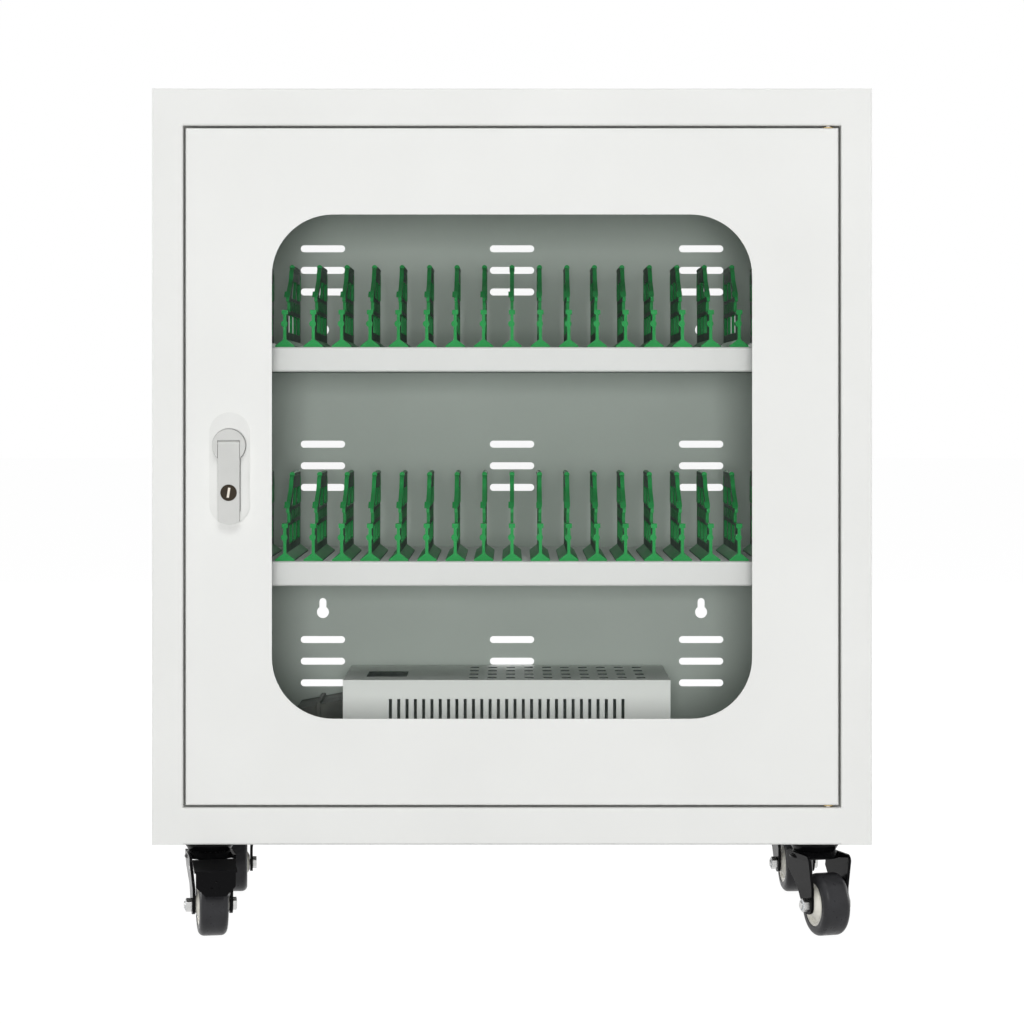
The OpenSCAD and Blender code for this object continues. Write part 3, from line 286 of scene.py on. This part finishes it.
def leaned(row_low, row_high):
    """Sets the front of the upper half back, less towards the tail, which stays upright."""
    def lean(mesh):
        for vert in mesh.verts:
            rise = (vert.co.z - row_low.z - LEAN_FROM) / (LEAN_TO - LEAN_FROM)
            share = max(0.0, min(1.0, rise))
            share = share * share * (3 - 2 * share)
            to_tail = (row_high.y - vert.co.y) / (row_high.y - row_low.y - PADDLE_FRONT)
            vert.co.y += LEAN_BACK * share * min(1.0, to_tail)
            vert.co.z -= LEAN_DROP * share
    return lean


def on_web(face):
    """True on the flats of a divider that look sideways, which get the painted shade."""
    return abs(face.normal.x) > LOOKS_ALONG


for row in ("upper_dividers", "lower_dividers"):
    divider_row = softened(row, 0.25 * MM, divider_green, "divider_plastic", segments=1,
                           shaped=leaned(*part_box(row)))
    paint_faces(divider_row, web_painted_shade, on_web)

# ---- Power box ------------------------------------------------------------------------------------
# A white folded cover, slotted at the front and on top, screwed at its sides to a zinc-plated base. On
# the base stands the supply board with its transformer, three capacitors and a finned heat sink.

# Painted light: the cover's white is set brighter than the body's to make up for the shade inside the
# cabinet.
power_box_coat_painted_light = powder_coat("Power box coat brightened as painted light", (0.91, 0.94, 0.90), (0.93, 0.96, 0.92))
cover_low, cover_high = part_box("power_box_cover")
# The top vents: the front row's distance from the front, half their depth in the solids, and half the
# depth that they get here.
DASH_FRONT = 22 * MM
DASH_ROWS = 4
DASH_ROW_PITCH = 33.5 * MM
DASH_HALF = 1.3 * MM
DASH_LONG_HALF = 5.0 * MM
DASH_FOUND = 0.02 * MM
# What counts as the top sheet and as a cut wall in it, clear of the cover's own edges.
TOP_ZONE = 3 * MM
CUT_HIGH, CUT_LOW = 0.05 * MM, 1.6 * MM
VENT_MARGIN = 11 * MM
UPRIGHT = 0.5


def long_dashes(mesh):
    """Draws the top vents out from front to back, each about its own middle."""
    for vert in mesh.verts:
        if vert.co.z < cover_high.z - TOP_ZONE:
            continue
        for row in range(DASH_ROWS):
            middle_y = cover_low.y + DASH_FRONT + row * DASH_ROW_PITCH
            off = vert.co.y - middle_y
            if abs(abs(off) - DASH_HALF) < DASH_FOUND:
                vert.co.y = middle_y + (DASH_LONG_HALF if off > 0 else -DASH_LONG_HALF)


power_cover = softened("power_box_cover", 0.35 * MM, power_box_coat_painted_light, "power_box_paint", shaped=long_dashes)
# Painted shade: the cut walls of the top vents are coloured near-black for the shade inside the openings.
vent_wall_painted_shade = new_finish("Vent wall painted shade", (0.035, 0.037, 0.035), 0.7, 0.4, gloss=0.15)
vary_roughness(vent_wall_painted_shade, grain(vent_wall_painted_shade, 600.0), 0.6, 0.8)


def in_top_vent(face):
    """True on the cut walls of the openings in the top sheet, clear of the cover's own edges, which get the
    painted shade.
    """
    in_sheet = CUT_HIGH < cover_high.z - face.center.z < CUT_LOW
    inside_x = cover_low.x + VENT_MARGIN < face.center.x < cover_high.x - VENT_MARGIN
    inside_y = cover_low.y + VENT_MARGIN < face.center.y < cover_high.y - VENT_MARGIN
    return in_sheet and inside_x and inside_y and abs(face.normal.z) < UPRIGHT


paint_faces(power_cover, vent_wall_painted_shade, in_top_vent)

zinc_sheet = new_finish("Zinc-plated sheet", (0.40, 0.42, 0.42), 0.42, 0.8)
vary_colour(zinc_sheet, grain(zinc_sheet, 160.0, 4.0), (0.34, 0.36, 0.36), (0.46, 0.48, 0.48))
vary_roughness(zinc_sheet, grain(zinc_sheet, 240.0), 0.3, 0.46)
dress(zinc_sheet, "power_box_base", "upper_hinge_bracket", "lower_hinge_bracket", "lock_cam")


def bright_metal(name, colour, rough):
    """A polished or plated metal with faint darker and duller flecks."""
    material = new_finish(name, colour, rough, 1.0)
    vary_colour(material, grain(material, 500.0, 3.0), tuple(0.85 * c for c in colour), colour)
    vary_roughness(material, grain(material, 900.0), rough - 0.05, rough + 0.08)
    return material


zinc_bright = bright_metal("Bright zinc", (0.66, 0.66, 0.65), 0.28)


# A screw head's height, and the cross on its crown, as shares of its radius.
DOME = 0.62
CROSS_LONG, CROSS_WIDE, CROSS_THICK, CROSS_RISE = 1.2, 0.24, 0.12, 0.575


def screw_head(name, centre, outward, radius, body, slot):
    """A domed pan head that points outward, with a cross on its crown."""
    mesh = bmesh.new()
    bmesh.ops.create_uvsphere(mesh, u_segments=24, v_segments=12, radius=radius)
    bmesh.ops.scale(mesh, verts=mesh.verts, vec=(1.0, 1.0, DOME))
    cut = bmesh.ops.bisect_plane(mesh, geom=mesh.verts[:] + mesh.edges[:] + mesh.faces[:],
                                 plane_co=(0, 0, 0), plane_no=(0, 0, 1), clear_inner=True)
    rim = [e for e in cut["geom_cut"] if isinstance(e, bmesh.types.BMEdge)]
    bmesh.ops.edgeloop_fill(mesh, edges=rim)
    for half_turn in (0.0, pi / 2):
        bar = bmesh.ops.create_cube(mesh, size=1.0)["verts"]
        bmesh.ops.scale(mesh, verts=bar, vec=Vector((CROSS_LONG, CROSS_WIDE, CROSS_THICK)) * radius)
        bmesh.ops.translate(mesh, verts=bar, vec=(0, 0, CROSS_RISE * radius))
        bmesh.ops.rotate(mesh, verts=bar, cent=(0, 0, 0), matrix=Matrix.Rotation(half_turn, 3, "Z"))
    turn = Vector((0, 0, 1)).rotation_difference(Vector(outward)).to_matrix().to_4x4()
    bmesh.ops.transform(mesh, verts=mesh.verts, matrix=Matrix.Translation(centre) @ turn)
    return make_piece(name, mesh, zinc_bright, body, slot)


SCREW_INSET = 22 * MM
SCREW_RISE = 14 * MM
SCREW_R = 3.2 * MM
for side, wall_x in (("left", cover_low.x), ("right", cover_high.x)):
    for place, y in (("front", cover_low.y + SCREW_INSET), ("rear", cover_high.y - SCREW_INSET)):
        outward = (-1.0 if side == "left" else 1.0, 0.0, 0.0)
        screw_head(f"cover_screw_{side}_{place}", (wall_x, y, cover_low.z + SCREW_RISE), outward,
                   SCREW_R, "root", "zinc_hardware")

board_green = new_finish("Board laminate", (0.012, 0.09, 0.045), 0.35)
vary_colour(board_green, grain(board_green, 90.0, 5.0), (0.01, 0.07, 0.035), (0.03, 0.14, 0.07), 0.45, 0.55)
dress(board_green, "supply_board")

# The parts on the board are placed from this point, which lies 80 mm from the left end of the CAD
# components and 38.5 mm from their front, at their feet.
component_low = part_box("supply_components")[0]
parts_from = component_low + Vector((80 * MM, 38.5 * MM, 0))


def block(mesh, low, high):
    """Adds a box between two corners, in metres."""
    size = Vector(high) - Vector(low)
    corners = bmesh.ops.create_cube(mesh, size=1.0)["verts"]
    bmesh.ops.scale(mesh, verts=corners, vec=size)
    bmesh.ops.translate(mesh, verts=corners, vec=Vector(low) + size / 2)


def on_board(name, mesh, finish, rounding):
    """Sets a part on the board, where it stands for the plain CAD one."""
    bmesh.ops.translate(mesh, verts=mesh.verts, vec=parts_from)
    round_edges(mesh, rounding)
    return make_piece(name, mesh, finish, "root", "component_plastic", "supply_components")


core_steel = new_finish("Transformer core", (0.09, 0.09, 0.1), 0.5, 0.6)
vary_colour(core_steel, grain(core_steel, 30.0, 2.0, (1.0, 1.0, 40.0)), (0.05, 0.05, 0.055),
            (0.14, 0.14, 0.15))
CORE_LEFT, CORE_RIGHT = -80 * MM, -24 * MM
CORE_DEEP = 40 * MM
CORE_HIGH = 48 * MM
LAMINATIONS = 12
LAMINATION_SHARE = 0.86
lamination_w = CORE_DEEP / LAMINATIONS
stack = bmesh.new()
for i in range(LAMINATIONS):
    front = -CORE_DEEP / 2 + i * lamination_w
    block(stack, (CORE_LEFT, front, 0), (CORE_RIGHT, front + LAMINATION_SHARE * lamination_w, CORE_HIGH))
on_board("transformer_core", stack, core_steel, 0.2 * MM)

copper = new_finish("Enamelled winding", (0.45, 0.16, 0.05), 0.35, 0.7)
vary_colour(copper, grain(copper, 60.0, 1.0, (1.0, 1.0, 14.0)), (0.32, 0.10, 0.03), (0.52, 0.2, 0.07))
WINDING_LEFT, WINDING_RIGHT = -70 * MM, -34 * MM
WINDING_IN, WINDING_OUT = 20.2 * MM, 27 * MM
WINDING_FOOT, WINDING_HIGH = 8 * MM, 32 * MM
TURNS = 14
TURN_SHARE = 0.9
turn_h = WINDING_HIGH / TURNS
winding = bmesh.new()
for i in range(TURNS):
    low_z = WINDING_FOOT + i * turn_h
    for side in (-1, 1):
        near_y, far_y = sorted((side * WINDING_IN, side * WINDING_OUT))
        block(winding, (WINDING_LEFT, near_y, low_z), (WINDING_RIGHT, far_y, low_z + TURN_SHARE * turn_h))
on_board("transformer_winding", winding, copper, 0.7 * MM)

sleeve_black = new_finish("Capacitor sleeve", (0.02, 0.022, 0.03), 0.3)
vary_roughness(sleeve_black, grain(sleeve_black, 120.0), 0.24, 0.4)
can_top = bright_metal("Aluminium", (0.72, 0.73, 0.74), 0.36)
CANS = 3
CAN_R = 11 * MM
CAN_HIGH = 42 * MM
CAN_PITCH = 28 * MM
CAN_Y = -27.5 * MM
SLEEVE_LIP, SLEEVE_SUNK = 1.2 * MM, 0.8 * MM
DISC_R, DISC_THICK, DISC_RISE = CAN_R - 1.4 * MM, 0.5 * MM, 20.4 * MM
SCORE_SIZE, SCORE_RISE = (14 * MM, 0.5 * MM, 0.2 * MM), 20.7 * MM
for i in range(CANS):
    centre = Matrix.Translation((CAN_R + i * CAN_PITCH, CAN_Y, CAN_HIGH / 2))
    can = bmesh.new()
    bmesh.ops.create_cone(can, cap_ends=True, segments=48, radius1=CAN_R, radius2=CAN_R, depth=CAN_HIGH,
                          matrix=centre)
    crown = [f for f in can.faces if f.normal.z > LOOKS_ALONG]
    bmesh.ops.inset_region(can, faces=crown, thickness=SLEEVE_LIP, depth=0.0)
    bmesh.ops.translate(can, verts=list({v for f in crown for v in f.verts}), vec=(0, 0, -SLEEVE_SUNK))
    on_board(f"capacitor_{i + 1}", can, sleeve_black, 0.6 * MM)
    disc = bmesh.new()
    bmesh.ops.create_cone(disc, cap_ends=True, segments=48, radius1=DISC_R, radius2=DISC_R,
                          depth=DISC_THICK, matrix=centre @ Matrix.Translation((0, 0, DISC_RISE)))
    for half_turn in (0.0, pi / 2):
        score = bmesh.ops.create_cube(disc, size=1.0)["verts"]
        bmesh.ops.scale(disc, verts=score, vec=SCORE_SIZE)
        bmesh.ops.rotate(disc, verts=score, cent=(0, 0, 0), matrix=Matrix.Rotation(half_turn, 3, "Z"))
        bmesh.ops.transform(disc, verts=score, matrix=centre @ Matrix.Translation((0, 0, SCORE_RISE)))
    on_board(f"capacitor_top_{i + 1}", disc, can_top, 0.05 * MM)

SINK_W, SINK_HIGH = 90 * MM, 50 * MM
SINK_FRONT, FIN_ROOT, FIN_TIP = 12 * MM, 18 * MM, 38 * MM
FINS = 9
FIN_THICK = 2 * MM
fin_step = (SINK_W - FIN_THICK) / (FINS - 1)
sink = bmesh.new()
block(sink, (0, SINK_FRONT, 0), (SINK_W, FIN_ROOT, SINK_HIGH))
for i in range(FINS):
    block(sink, (i * fin_step, FIN_ROOT, 0), (i * fin_step + FIN_THICK, FIN_TIP, SINK_HIGH))
on_board("heat_sink", sink, can_top, 0.25 * MM)

# ---- Mains inlet ----------------------------------------------------------------------------------
# A dark grey moulded housing on the inside of the back panel, with a recess for the mains lead and its
# three plated contacts behind a cut-out in the panel.

inlet_grey = new_finish("Inlet moulding", (0.13, 0.128, 0.12), 0.75, gloss=0.12)
vary_colour(inlet_grey, grain(inlet_grey, 45.0, 3.0), (0.09, 0.09, 0.083), (0.17, 0.168, 0.155))
emboss(inlet_grey, grain(inlet_grey, 260.0, 4.0), 0.25 * MM, 0.6)
softened("inlet_housing", 0.8 * MM, inlet_grey, "inlet_plastic")

contact_plate = bright_metal("Plated contacts", (0.72, 0.68, 0.55), 0.25)
softened("inlet_pins", 0.3 * MM, contact_plate, "contact_metal")

# ---- Hinges ---------------------------------------------------------------------------------------
# Each steel pin drops through a bracket on the jamb into a flanged bush in the door's edge. Pins,
# nuts and screws are bright zinc plate; the bushes are sintered brass.

for hardware in ("hinge_pins", "glass_frame_screws", "lock_handle_pin", "cam_screw", "caster_nuts",
                 "brake_pedal_pin"):
    softened(hardware, 0.2 * MM, zinc_bright, "zinc_hardware")
softened("hinge_bushes", 0.15 * MM, bright_metal("Sintered brass", (0.62, 0.47, 0.24), 0.4), "bush_brass")

# ---- Door -----------------------------------------------------------------------------------------
# A folded pan with a rounded window. The glass lies in a rubber gasket behind the skin and a stepped
# ring on welded studs clamps it; rubber buffers on the jamb take the closing blow.

door_paint = powder_coat("Door coat", (0.805, 0.81, 0.79), (0.835, 0.84, 0.82), 0.4)
softened("door_panel", 0.12 * MM, door_paint, "door_paint", segments=1)
softened("glass_frame", 0.15 * MM, door_paint, "door_paint", segments=1)

rubber_black = new_finish("Black rubber", (0.02, 0.02, 0.021), 0.7)
vary_roughness(rubber_black, grain(rubber_black, 200.0), 0.6, 0.8)
emboss(rubber_black, grain(rubber_black, 700.0, 3.0), 0.03 * MM, 0.5)
dress(rubber_black, "window_gasket")
softened("door_buffers", 0.5 * MM, rubber_black, "gasket_rubber")

glass_clear = new_finish("Window glass", (0.10, 0.16, 0.13), 0.03, gloss=0.12)
glass_shader = glass_clear.node_tree.nodes["Principled BSDF"]
glass_shader.inputs["Alpha"].default_value = 0.03
glass_shader.inputs["IOR"].default_value = 1.5
vary_roughness(glass_clear, grain(glass_clear, 5.0), 0.02, 0.05)
dress(glass_clear, "window_glass")

# ---- Lock -----------------------------------------------------------------------------------------
# A satin-plated casting: a low bezel on the door, a round head that turns the cam, a handle that flips
# out of the head on its pin, and a dark bronze key cylinder with a bright shutter in its keyway.

lock_satin = new_finish("Satin plate", (0.615, 0.62, 0.60), 0.45, gloss=0.3)
vary_colour(lock_satin, grain(lock_satin, 40.0), (0.60, 0.605, 0.585), (0.635, 0.64, 0.62))
vary_roughness(lock_satin, grain(lock_satin, 900.0, 2.0), 0.34, 0.46)
emboss(lock_satin, grain(lock_satin, 1500.0, 2.0), 0.012 * MM, 0.5)
bezel_satin = new_finish("Satin bezel", (0.77, 0.775, 0.755), 0.45, gloss=0.3)
vary_colour(bezel_satin, grain(bezel_satin, 40.0), (0.75, 0.755, 0.735), (0.79, 0.795, 0.775))
vary_roughness(bezel_satin, grain(bezel_satin, 900.0, 2.0), 0.4, 0.5)
lock_bezel = softened("lock_bezel", 0.25 * MM, bezel_satin, "lock_metal")
bezel_low, bezel_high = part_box("lock_bezel")
BEZEL_OUT = 3 * MM
BEZEL_RIM = 2.5 * MM
BEZEL_FACE = 0.35 * MM
bezel_x = (bezel_low.x + bezel_high.x) / 2
bezel_z = (bezel_low.z + bezel_high.z) / 2
bezel_r = (bezel_high.x - bezel_low.x) / 2
bezel_straight = (bezel_high.z - bezel_low.z) / 2 - bezel_r


def clear_of_rim(corner):
    """True well inside the bezel's rounded outline."""
    past_end = max(0.0, abs(corner.z - bezel_z) - bezel_straight)
    return Vector((corner.x - bezel_x, past_end)).length < bezel_r - BEZEL_RIM


def in_relief(face):
    """True in the narrow groove round the head and the handle, which is painted near-black as painted shade.
    """
    corners = [lock_bezel.data.vertices[index].co for index in face.vertices]
    below_face = BEZEL_FACE < face.center.y - bezel_low.y < BEZEL_OUT
    return below_face and all(map(clear_of_rim, corners))


# Painted shade: the faces deep in the groove are coloured near-black for the shade in the gap.
groove_painted_shade = new_finish("Groove painted shade", (0.03, 0.03, 0.028), 0.8, gloss=0.1)
vary_roughness(groove_painted_shade, grain(groove_painted_shade, 500.0), 0.7, 0.9)
paint_faces(lock_bezel, groove_painted_shade, in_relief)
softened("lock_head", 0.3 * MM, lock_satin, "lock_metal")
softened("lock_handle", 0.45 * MM, lock_satin, "lock_metal")

key_bronze = new_finish("Dark bronze", (0.035, 0.026, 0.016), 0.35, gloss=0.2)
vary_roughness(key_bronze, grain(key_bronze, 700.0), 0.24, 0.4)
softened("key_cylinder", 0.2 * MM, key_bronze, "key_brass")

KEYWAY_LEAN = 9.0
SHUTTER_SIZE = (2.0 * MM, 0.5 * MM, 8.4 * MM)
SHUTTER_BACK = 0.1 * MM
key_low, key_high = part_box("key_cylinder")
shutter = bmesh.new()
bmesh.ops.create_cube(shutter, size=1.0)
bmesh.ops.scale(shutter, verts=shutter.verts, vec=SHUTTER_SIZE)
round_edges(shutter, 0.2 * MM)
bmesh.ops.rotate(shutter, verts=shutter.verts, cent=(0, 0, 0),
                 matrix=Matrix.Rotation(radians(KEYWAY_LEAN), 3, "Y"))
key_middle = (key_low + key_high) / 2
bmesh.ops.translate(shutter, verts=shutter.verts, vec=(key_middle.x, key_low.y + SHUTTER_BACK, key_middle.z))
nickel_silver = bright_metal("Nickel silver", (0.86, 0.80, 0.70), 0.3)
make_piece("keyway_shutter", shutter, nickel_silver, "key_cylinder", "key_brass")

# ---- Casters --------------------------------------------------------------------------------------
# Pressed steel forks and bearing cups in gloss black, cream moulded wheel cores and dark grey tyres on
# zinc-plated bolts. The front left one has a brake pedal over its wheel.

gloss_black = new_finish("Gloss black", (0.004, 0.004, 0.0045), 0.2, gloss=0.06)
vary_roughness(gloss_black, grain(gloss_black, 120.0), 0.16, 0.26)
emboss(gloss_black, grain(gloss_black, 300.0), 0.02 * MM, 0.4)

tyre_grey = new_finish("Tyre", (0.024, 0.024, 0.026), 0.34, gloss=0.25)
vary_colour(tyre_grey, grain(tyre_grey, 90.0, 3.0), (0.02, 0.02, 0.022), (0.03, 0.03, 0.033))
vary_roughness(tyre_grey, grain(tyre_grey, 350.0), 0.26, 0.42)

rim_cream = new_finish("Cream core", (0.90, 0.88, 0.79), 0.3)
vary_colour(rim_cream, grain(rim_cream, 60.0), (0.88, 0.86, 0.77), (0.93, 0.91, 0.83))

nylon_white = new_finish("Nylon", (0.72, 0.74, 0.76), 0.45)
vary_roughness(nylon_white, grain(nylon_white, 400.0), 0.4, 0.5)

TURN_STEPS = 96
AXIS_WELD = 0.001 * MM


def turned(outline):
    """Spins an outline of (distance along the axle, radius) points round the axle, which is X."""
    mesh = bmesh.new()
    ring = [mesh.verts.new((along, 0.0, radius)) for along, radius in outline]
    edges = [mesh.edges.new((ring[i], ring[(i + 1) % len(ring)])) for i in range(len(ring))]
    bmesh.ops.spin(mesh, geom=ring + edges, cent=(0, 0, 0), axis=(1, 0, 0), dvec=(0, 0, 0), angle=2 * pi,
                   steps=TURN_STEPS, use_merge=True, use_duplicate=False)
    bmesh.ops.remove_doubles(mesh, verts=mesh.verts, dist=AXIS_WELD)
    bmesh.ops.recalc_face_normals(mesh, faces=mesh.faces)
    return mesh


def both_ways(half):
    """The whole outline of a turned piece from its half on the positive side."""
    return half + [(-along, radius) for along, radius in reversed(half)]


WHEEL_R = joints["front_left_spin"]["pos_m"][2]
TYRE_HALF = 12 * MM
TYRE_IN = WHEEL_R - 8 * MM
BORE = 3.05 * MM
HUB_HALF = 14.2 * MM
LEG_OUT = 17 * MM
ROUND_R = 5 * MM
SHOULDER_STEPS = 8
tyre_half = [(TYRE_HALF, TYRE_IN), (TYRE_HALF, WHEEL_R - ROUND_R)]
for step in range(1, SHOULDER_STEPS + 1):
    sweep = step * pi / (2 * SHOULDER_STEPS)
    tyre_half.append((TYRE_HALF - ROUND_R + ROUND_R * cos(sweep), WHEEL_R - ROUND_R + ROUND_R * sin(sweep)))
# From the bore out: the hub's face and its chamfer, the dished web, and the bead under the tyre.
rim_half = [
    (HUB_HALF, BORE), (HUB_HALF, 6.2 * MM), (HUB_HALF - 0.6 * MM, 7.4 * MM), (12.9 * MM, 8.6 * MM),
    (10.3 * MM, 12.4 * MM), (9.7 * MM, 13.2 * MM), (9.7 * MM, 14.7 * MM), (11.1 * MM, 15.4 * MM),
    (11.5 * MM, 15.9 * MM), (11.5 * MM, TYRE_IN),
]

# The nylon ring in the lock nut: where it ends and where its crown starts, and its three radii.
INSERT_END, INSERT_CROWN = -LEG_OUT - 5.5 * MM, -LEG_OUT - 4.6 * MM
INSERT_BORE, INSERT_LIP, INSERT_R = 3.0 * MM, 4.3 * MM, 4.9 * MM

BALLS = 18
BALL_R = 1.45 * MM
RACE_R = 12.5 * MM
RACE_RISE = 1.5 * MM
for corner in ("front_left", "front_right", "rear_left", "rear_right"):
    spin, swivel = joints[f"{corner}_spin"], joints[f"{corner}_swivel"]
    axle = Vector(spin["axis"])
    turn = Vector((1, 0, 0)).rotation_difference(axle).to_matrix().to_4x4()
    on_wheel = Matrix.Translation(spin["pos_m"]) @ turn
    softened(f"{corner}_stem", 0.35 * MM, gloss_black, "caster_black")
    softened(f"{corner}_fork", 0.5 * MM, gloss_black, "caster_black")
    softened(f"{corner}_axle", 0.3 * MM, zinc_bright, "zinc_hardware")

    tyre = turned(both_ways(tyre_half))
    bmesh.ops.transform(tyre, verts=tyre.verts, matrix=on_wheel)
    make_piece(f"{corner}_tyre_turned", tyre, tyre_grey, f"{corner}_wheel", "tyre_rubber", f"{corner}_tyre",
               smooth=40.0)

    rim = turned(both_ways(rim_half))
    round_edges(rim, 0.25 * MM)
    bmesh.ops.transform(rim, verts=rim.verts, matrix=on_wheel)
    make_piece(f"{corner}_rim_turned", rim, rim_cream, f"{corner}_wheel", "rim_plastic", f"{corner}_rim")

    insert = turned([(INSERT_END, INSERT_BORE), (INSERT_END, INSERT_LIP), (INSERT_CROWN, INSERT_R),
                     (INSERT_CROWN, INSERT_BORE)])
    bmesh.ops.transform(insert, verts=insert.verts, matrix=on_wheel)
    make_piece(f"{corner}_nut_insert", insert, nylon_white, f"{corner}_fork", "zinc_hardware")

    race = bmesh.new()
    race_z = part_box("swivel_bearings")[0].z + RACE_RISE
    swivel_x, swivel_y = swivel["pos_m"][:2]
    for i in range(BALLS):
        sweep = 2 * pi * i / BALLS
        centre = (swivel_x + RACE_R * cos(sweep), swivel_y + RACE_R * sin(sweep), race_z)
        bmesh.ops.create_icosphere(race, subdivisions=2, radius=BALL_R, matrix=Matrix.Translation(centre))
    make_piece(f"{corner}_balls", race, zinc_bright, "root", "zinc_hardware", "swivel_bearings",
               smooth=60.0)
softened("brake_pedal", 0.4 * MM, gloss_black, "caster_black")

# ---- Floor, light and camera ----------------------------------------------------------------------
# A white studio floor that runs out of sight under an even white sky. One wide softbox stands high in
# front and a small fill, which gloss doesn't show, at the camera's height; weaker ones stand overhead, at
# the sides and behind. The camera is level, 2.4 m in front of the door, a little above mid height.

front_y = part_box("left_side_panel")[0].y
FLOOR_SIZE = 40.0
floor_mesh = bmesh.new()
bmesh.ops.create_grid(floor_mesh, x_segments=1, y_segments=1, size=FLOOR_SIZE / 2)
floor_data = bpy.data.meshes.new("floor")
floor_mesh.to_mesh(floor_data)
floor_mesh.free()
floor = bpy.data.objects.new("floor", floor_data)
bpy.context.scene.collection.objects.link(floor)


def seen_directly(tree):
    """1 for rays from the camera or off gloss or through glass, 0 for those that carry light."""
    path = tree.nodes.new("ShaderNodeLightPath")
    total = None
    for ray in ("Is Camera Ray", "Is Glossy Ray", "Is Transmission Ray"):
        if total is None:
            total = path.outputs[ray]
            continue
        either = tree.nodes.new("ShaderNodeMath")
        either.operation = "MAXIMUM"
        tree.links.new(total, either.inputs[0])
        tree.links.new(path.outputs[ray], either.inputs[1])
        total = either.outputs["Value"]
    return total


FLOOR_SHADE = 0.6
FLOOR_GLOW = 1.15
GLOW_SHARE = 0.85
floor_white = bpy.data.materials.new("Studio floor")
floor_white.use_nodes = True
tree = floor_white.node_tree
tree.nodes.clear()
matt = tree.nodes.new("ShaderNodeBsdfDiffuse")
matt.inputs["Color"].default_value = (FLOOR_SHADE, FLOOR_SHADE, FLOOR_SHADE, 1.0)
glow = tree.nodes.new("ShaderNodeEmission")
glow.inputs["Strength"].default_value = FLOOR_GLOW
share = tree.nodes.new("ShaderNodeMath")
share.operation = "MULTIPLY"
share.inputs[1].default_value = GLOW_SHARE
blend = tree.nodes.new("ShaderNodeMixShader")
out = tree.nodes.new("ShaderNodeOutputMaterial")
tree.links.new(seen_directly(tree), share.inputs[0])
tree.links.new(share.outputs["Value"], blend.inputs["Fac"])
tree.links.new(matt.outputs["BSDF"], blend.inputs[1])
tree.links.new(glow.outputs["Emission"], blend.inputs[2])
tree.links.new(blend.outputs["Shader"], out.inputs["Surface"])
floor_data.materials.append(floor_white)

SKY_LIGHT = 0.15
world = bpy.data.worlds.new("Studio")
bpy.context.scene.world = world
world.use_nodes = True
tree = world.node_tree
tree.nodes.clear()
sky = tree.nodes.new("ShaderNodeBackground")
sky.inputs["Color"].default_value = (0.98, 0.99, 1.0, 1.0)
sky.inputs["Strength"].default_value = SKY_LIGHT
white = tree.nodes.new("ShaderNodeBackground")
white.inputs["Color"].default_value = (1.0, 1.0, 1.0, 1.0)
white.inputs["Strength"].default_value = 1.0
blend = tree.nodes.new("ShaderNodeMixShader")
out = tree.nodes.new("ShaderNodeOutputWorld")
tree.links.new(seen_directly(tree), blend.inputs["Fac"])
tree.links.new(sky.outputs["Background"], blend.inputs[1])
tree.links.new(white.outputs["Background"], blend.inputs[2])
tree.links.new(blend.outputs["Shader"], out.inputs["Surface"])


MIDDLE = Vector((0.0, 0.0, 0.4))


def lamp(name, place, size, watts):
    """A softbox of size metres at a place, turned to the middle of the cabinet."""
    light = bpy.data.lights.new(name, "AREA")
    light.shape = "RECTANGLE"
    light.size, light.size_y = size
    light.energy = watts
    holder = bpy.data.objects.new(name, light)
    holder.location = place
    holder.rotation_euler = (MIDDLE - Vector(place)).to_track_quat("-Z", "Y").to_euler()
    bpy.context.scene.collection.objects.link(holder)
    return holder


lamp("front_softbox", (0.0, -4.2, 3.4), (2.6, 2.0), 74.0)
camera_fill = lamp("camera_fill", (0.0, -4.6, 0.45), (0.8, 0.8), 97.0)
camera_fill.visible_glossy = False
lamp("top_softbox", (0.0, 0.2, 3.2), (2.2, 2.2), 16.0)
lamp("left_softbox", (-3.4, 0.7, 1.1), (1.4, 1.6), 42.0)
lamp("right_softbox", (3.4, 0.7, 1.1), (1.4, 1.6), 42.0)
lamp("rear_softbox", (0.0, 4.0, 1.8), (4.0, 2.4), 70.0)

SENSOR = 36.0
PIXELS = 1024
FOCAL_PIXELS = 2910.0
CAMERA_AWAY = 2.423
CAMERA_HEIGHT = 0.4485
HORIZON_ROW = 400
camera_data = bpy.data.cameras.new("camera")
camera_data.sensor_width = SENSOR
camera_data.lens = SENSOR * FOCAL_PIXELS / PIXELS
camera_data.shift_y = (HORIZON_ROW - PIXELS / 2) / PIXELS
camera_data.shift_x = 0.0
camera = bpy.data.objects.new("camera", camera_data)
camera.location = (0.0, front_y - CAMERA_AWAY, CAMERA_HEIGHT)
camera.rotation_euler = (pi / 2, 0.0, 0.0)
bpy.context.scene.collection.objects.link(camera)
bpy.context.scene.camera = camera
bpy.context.scene.view_settings.view_transform = "Standard"
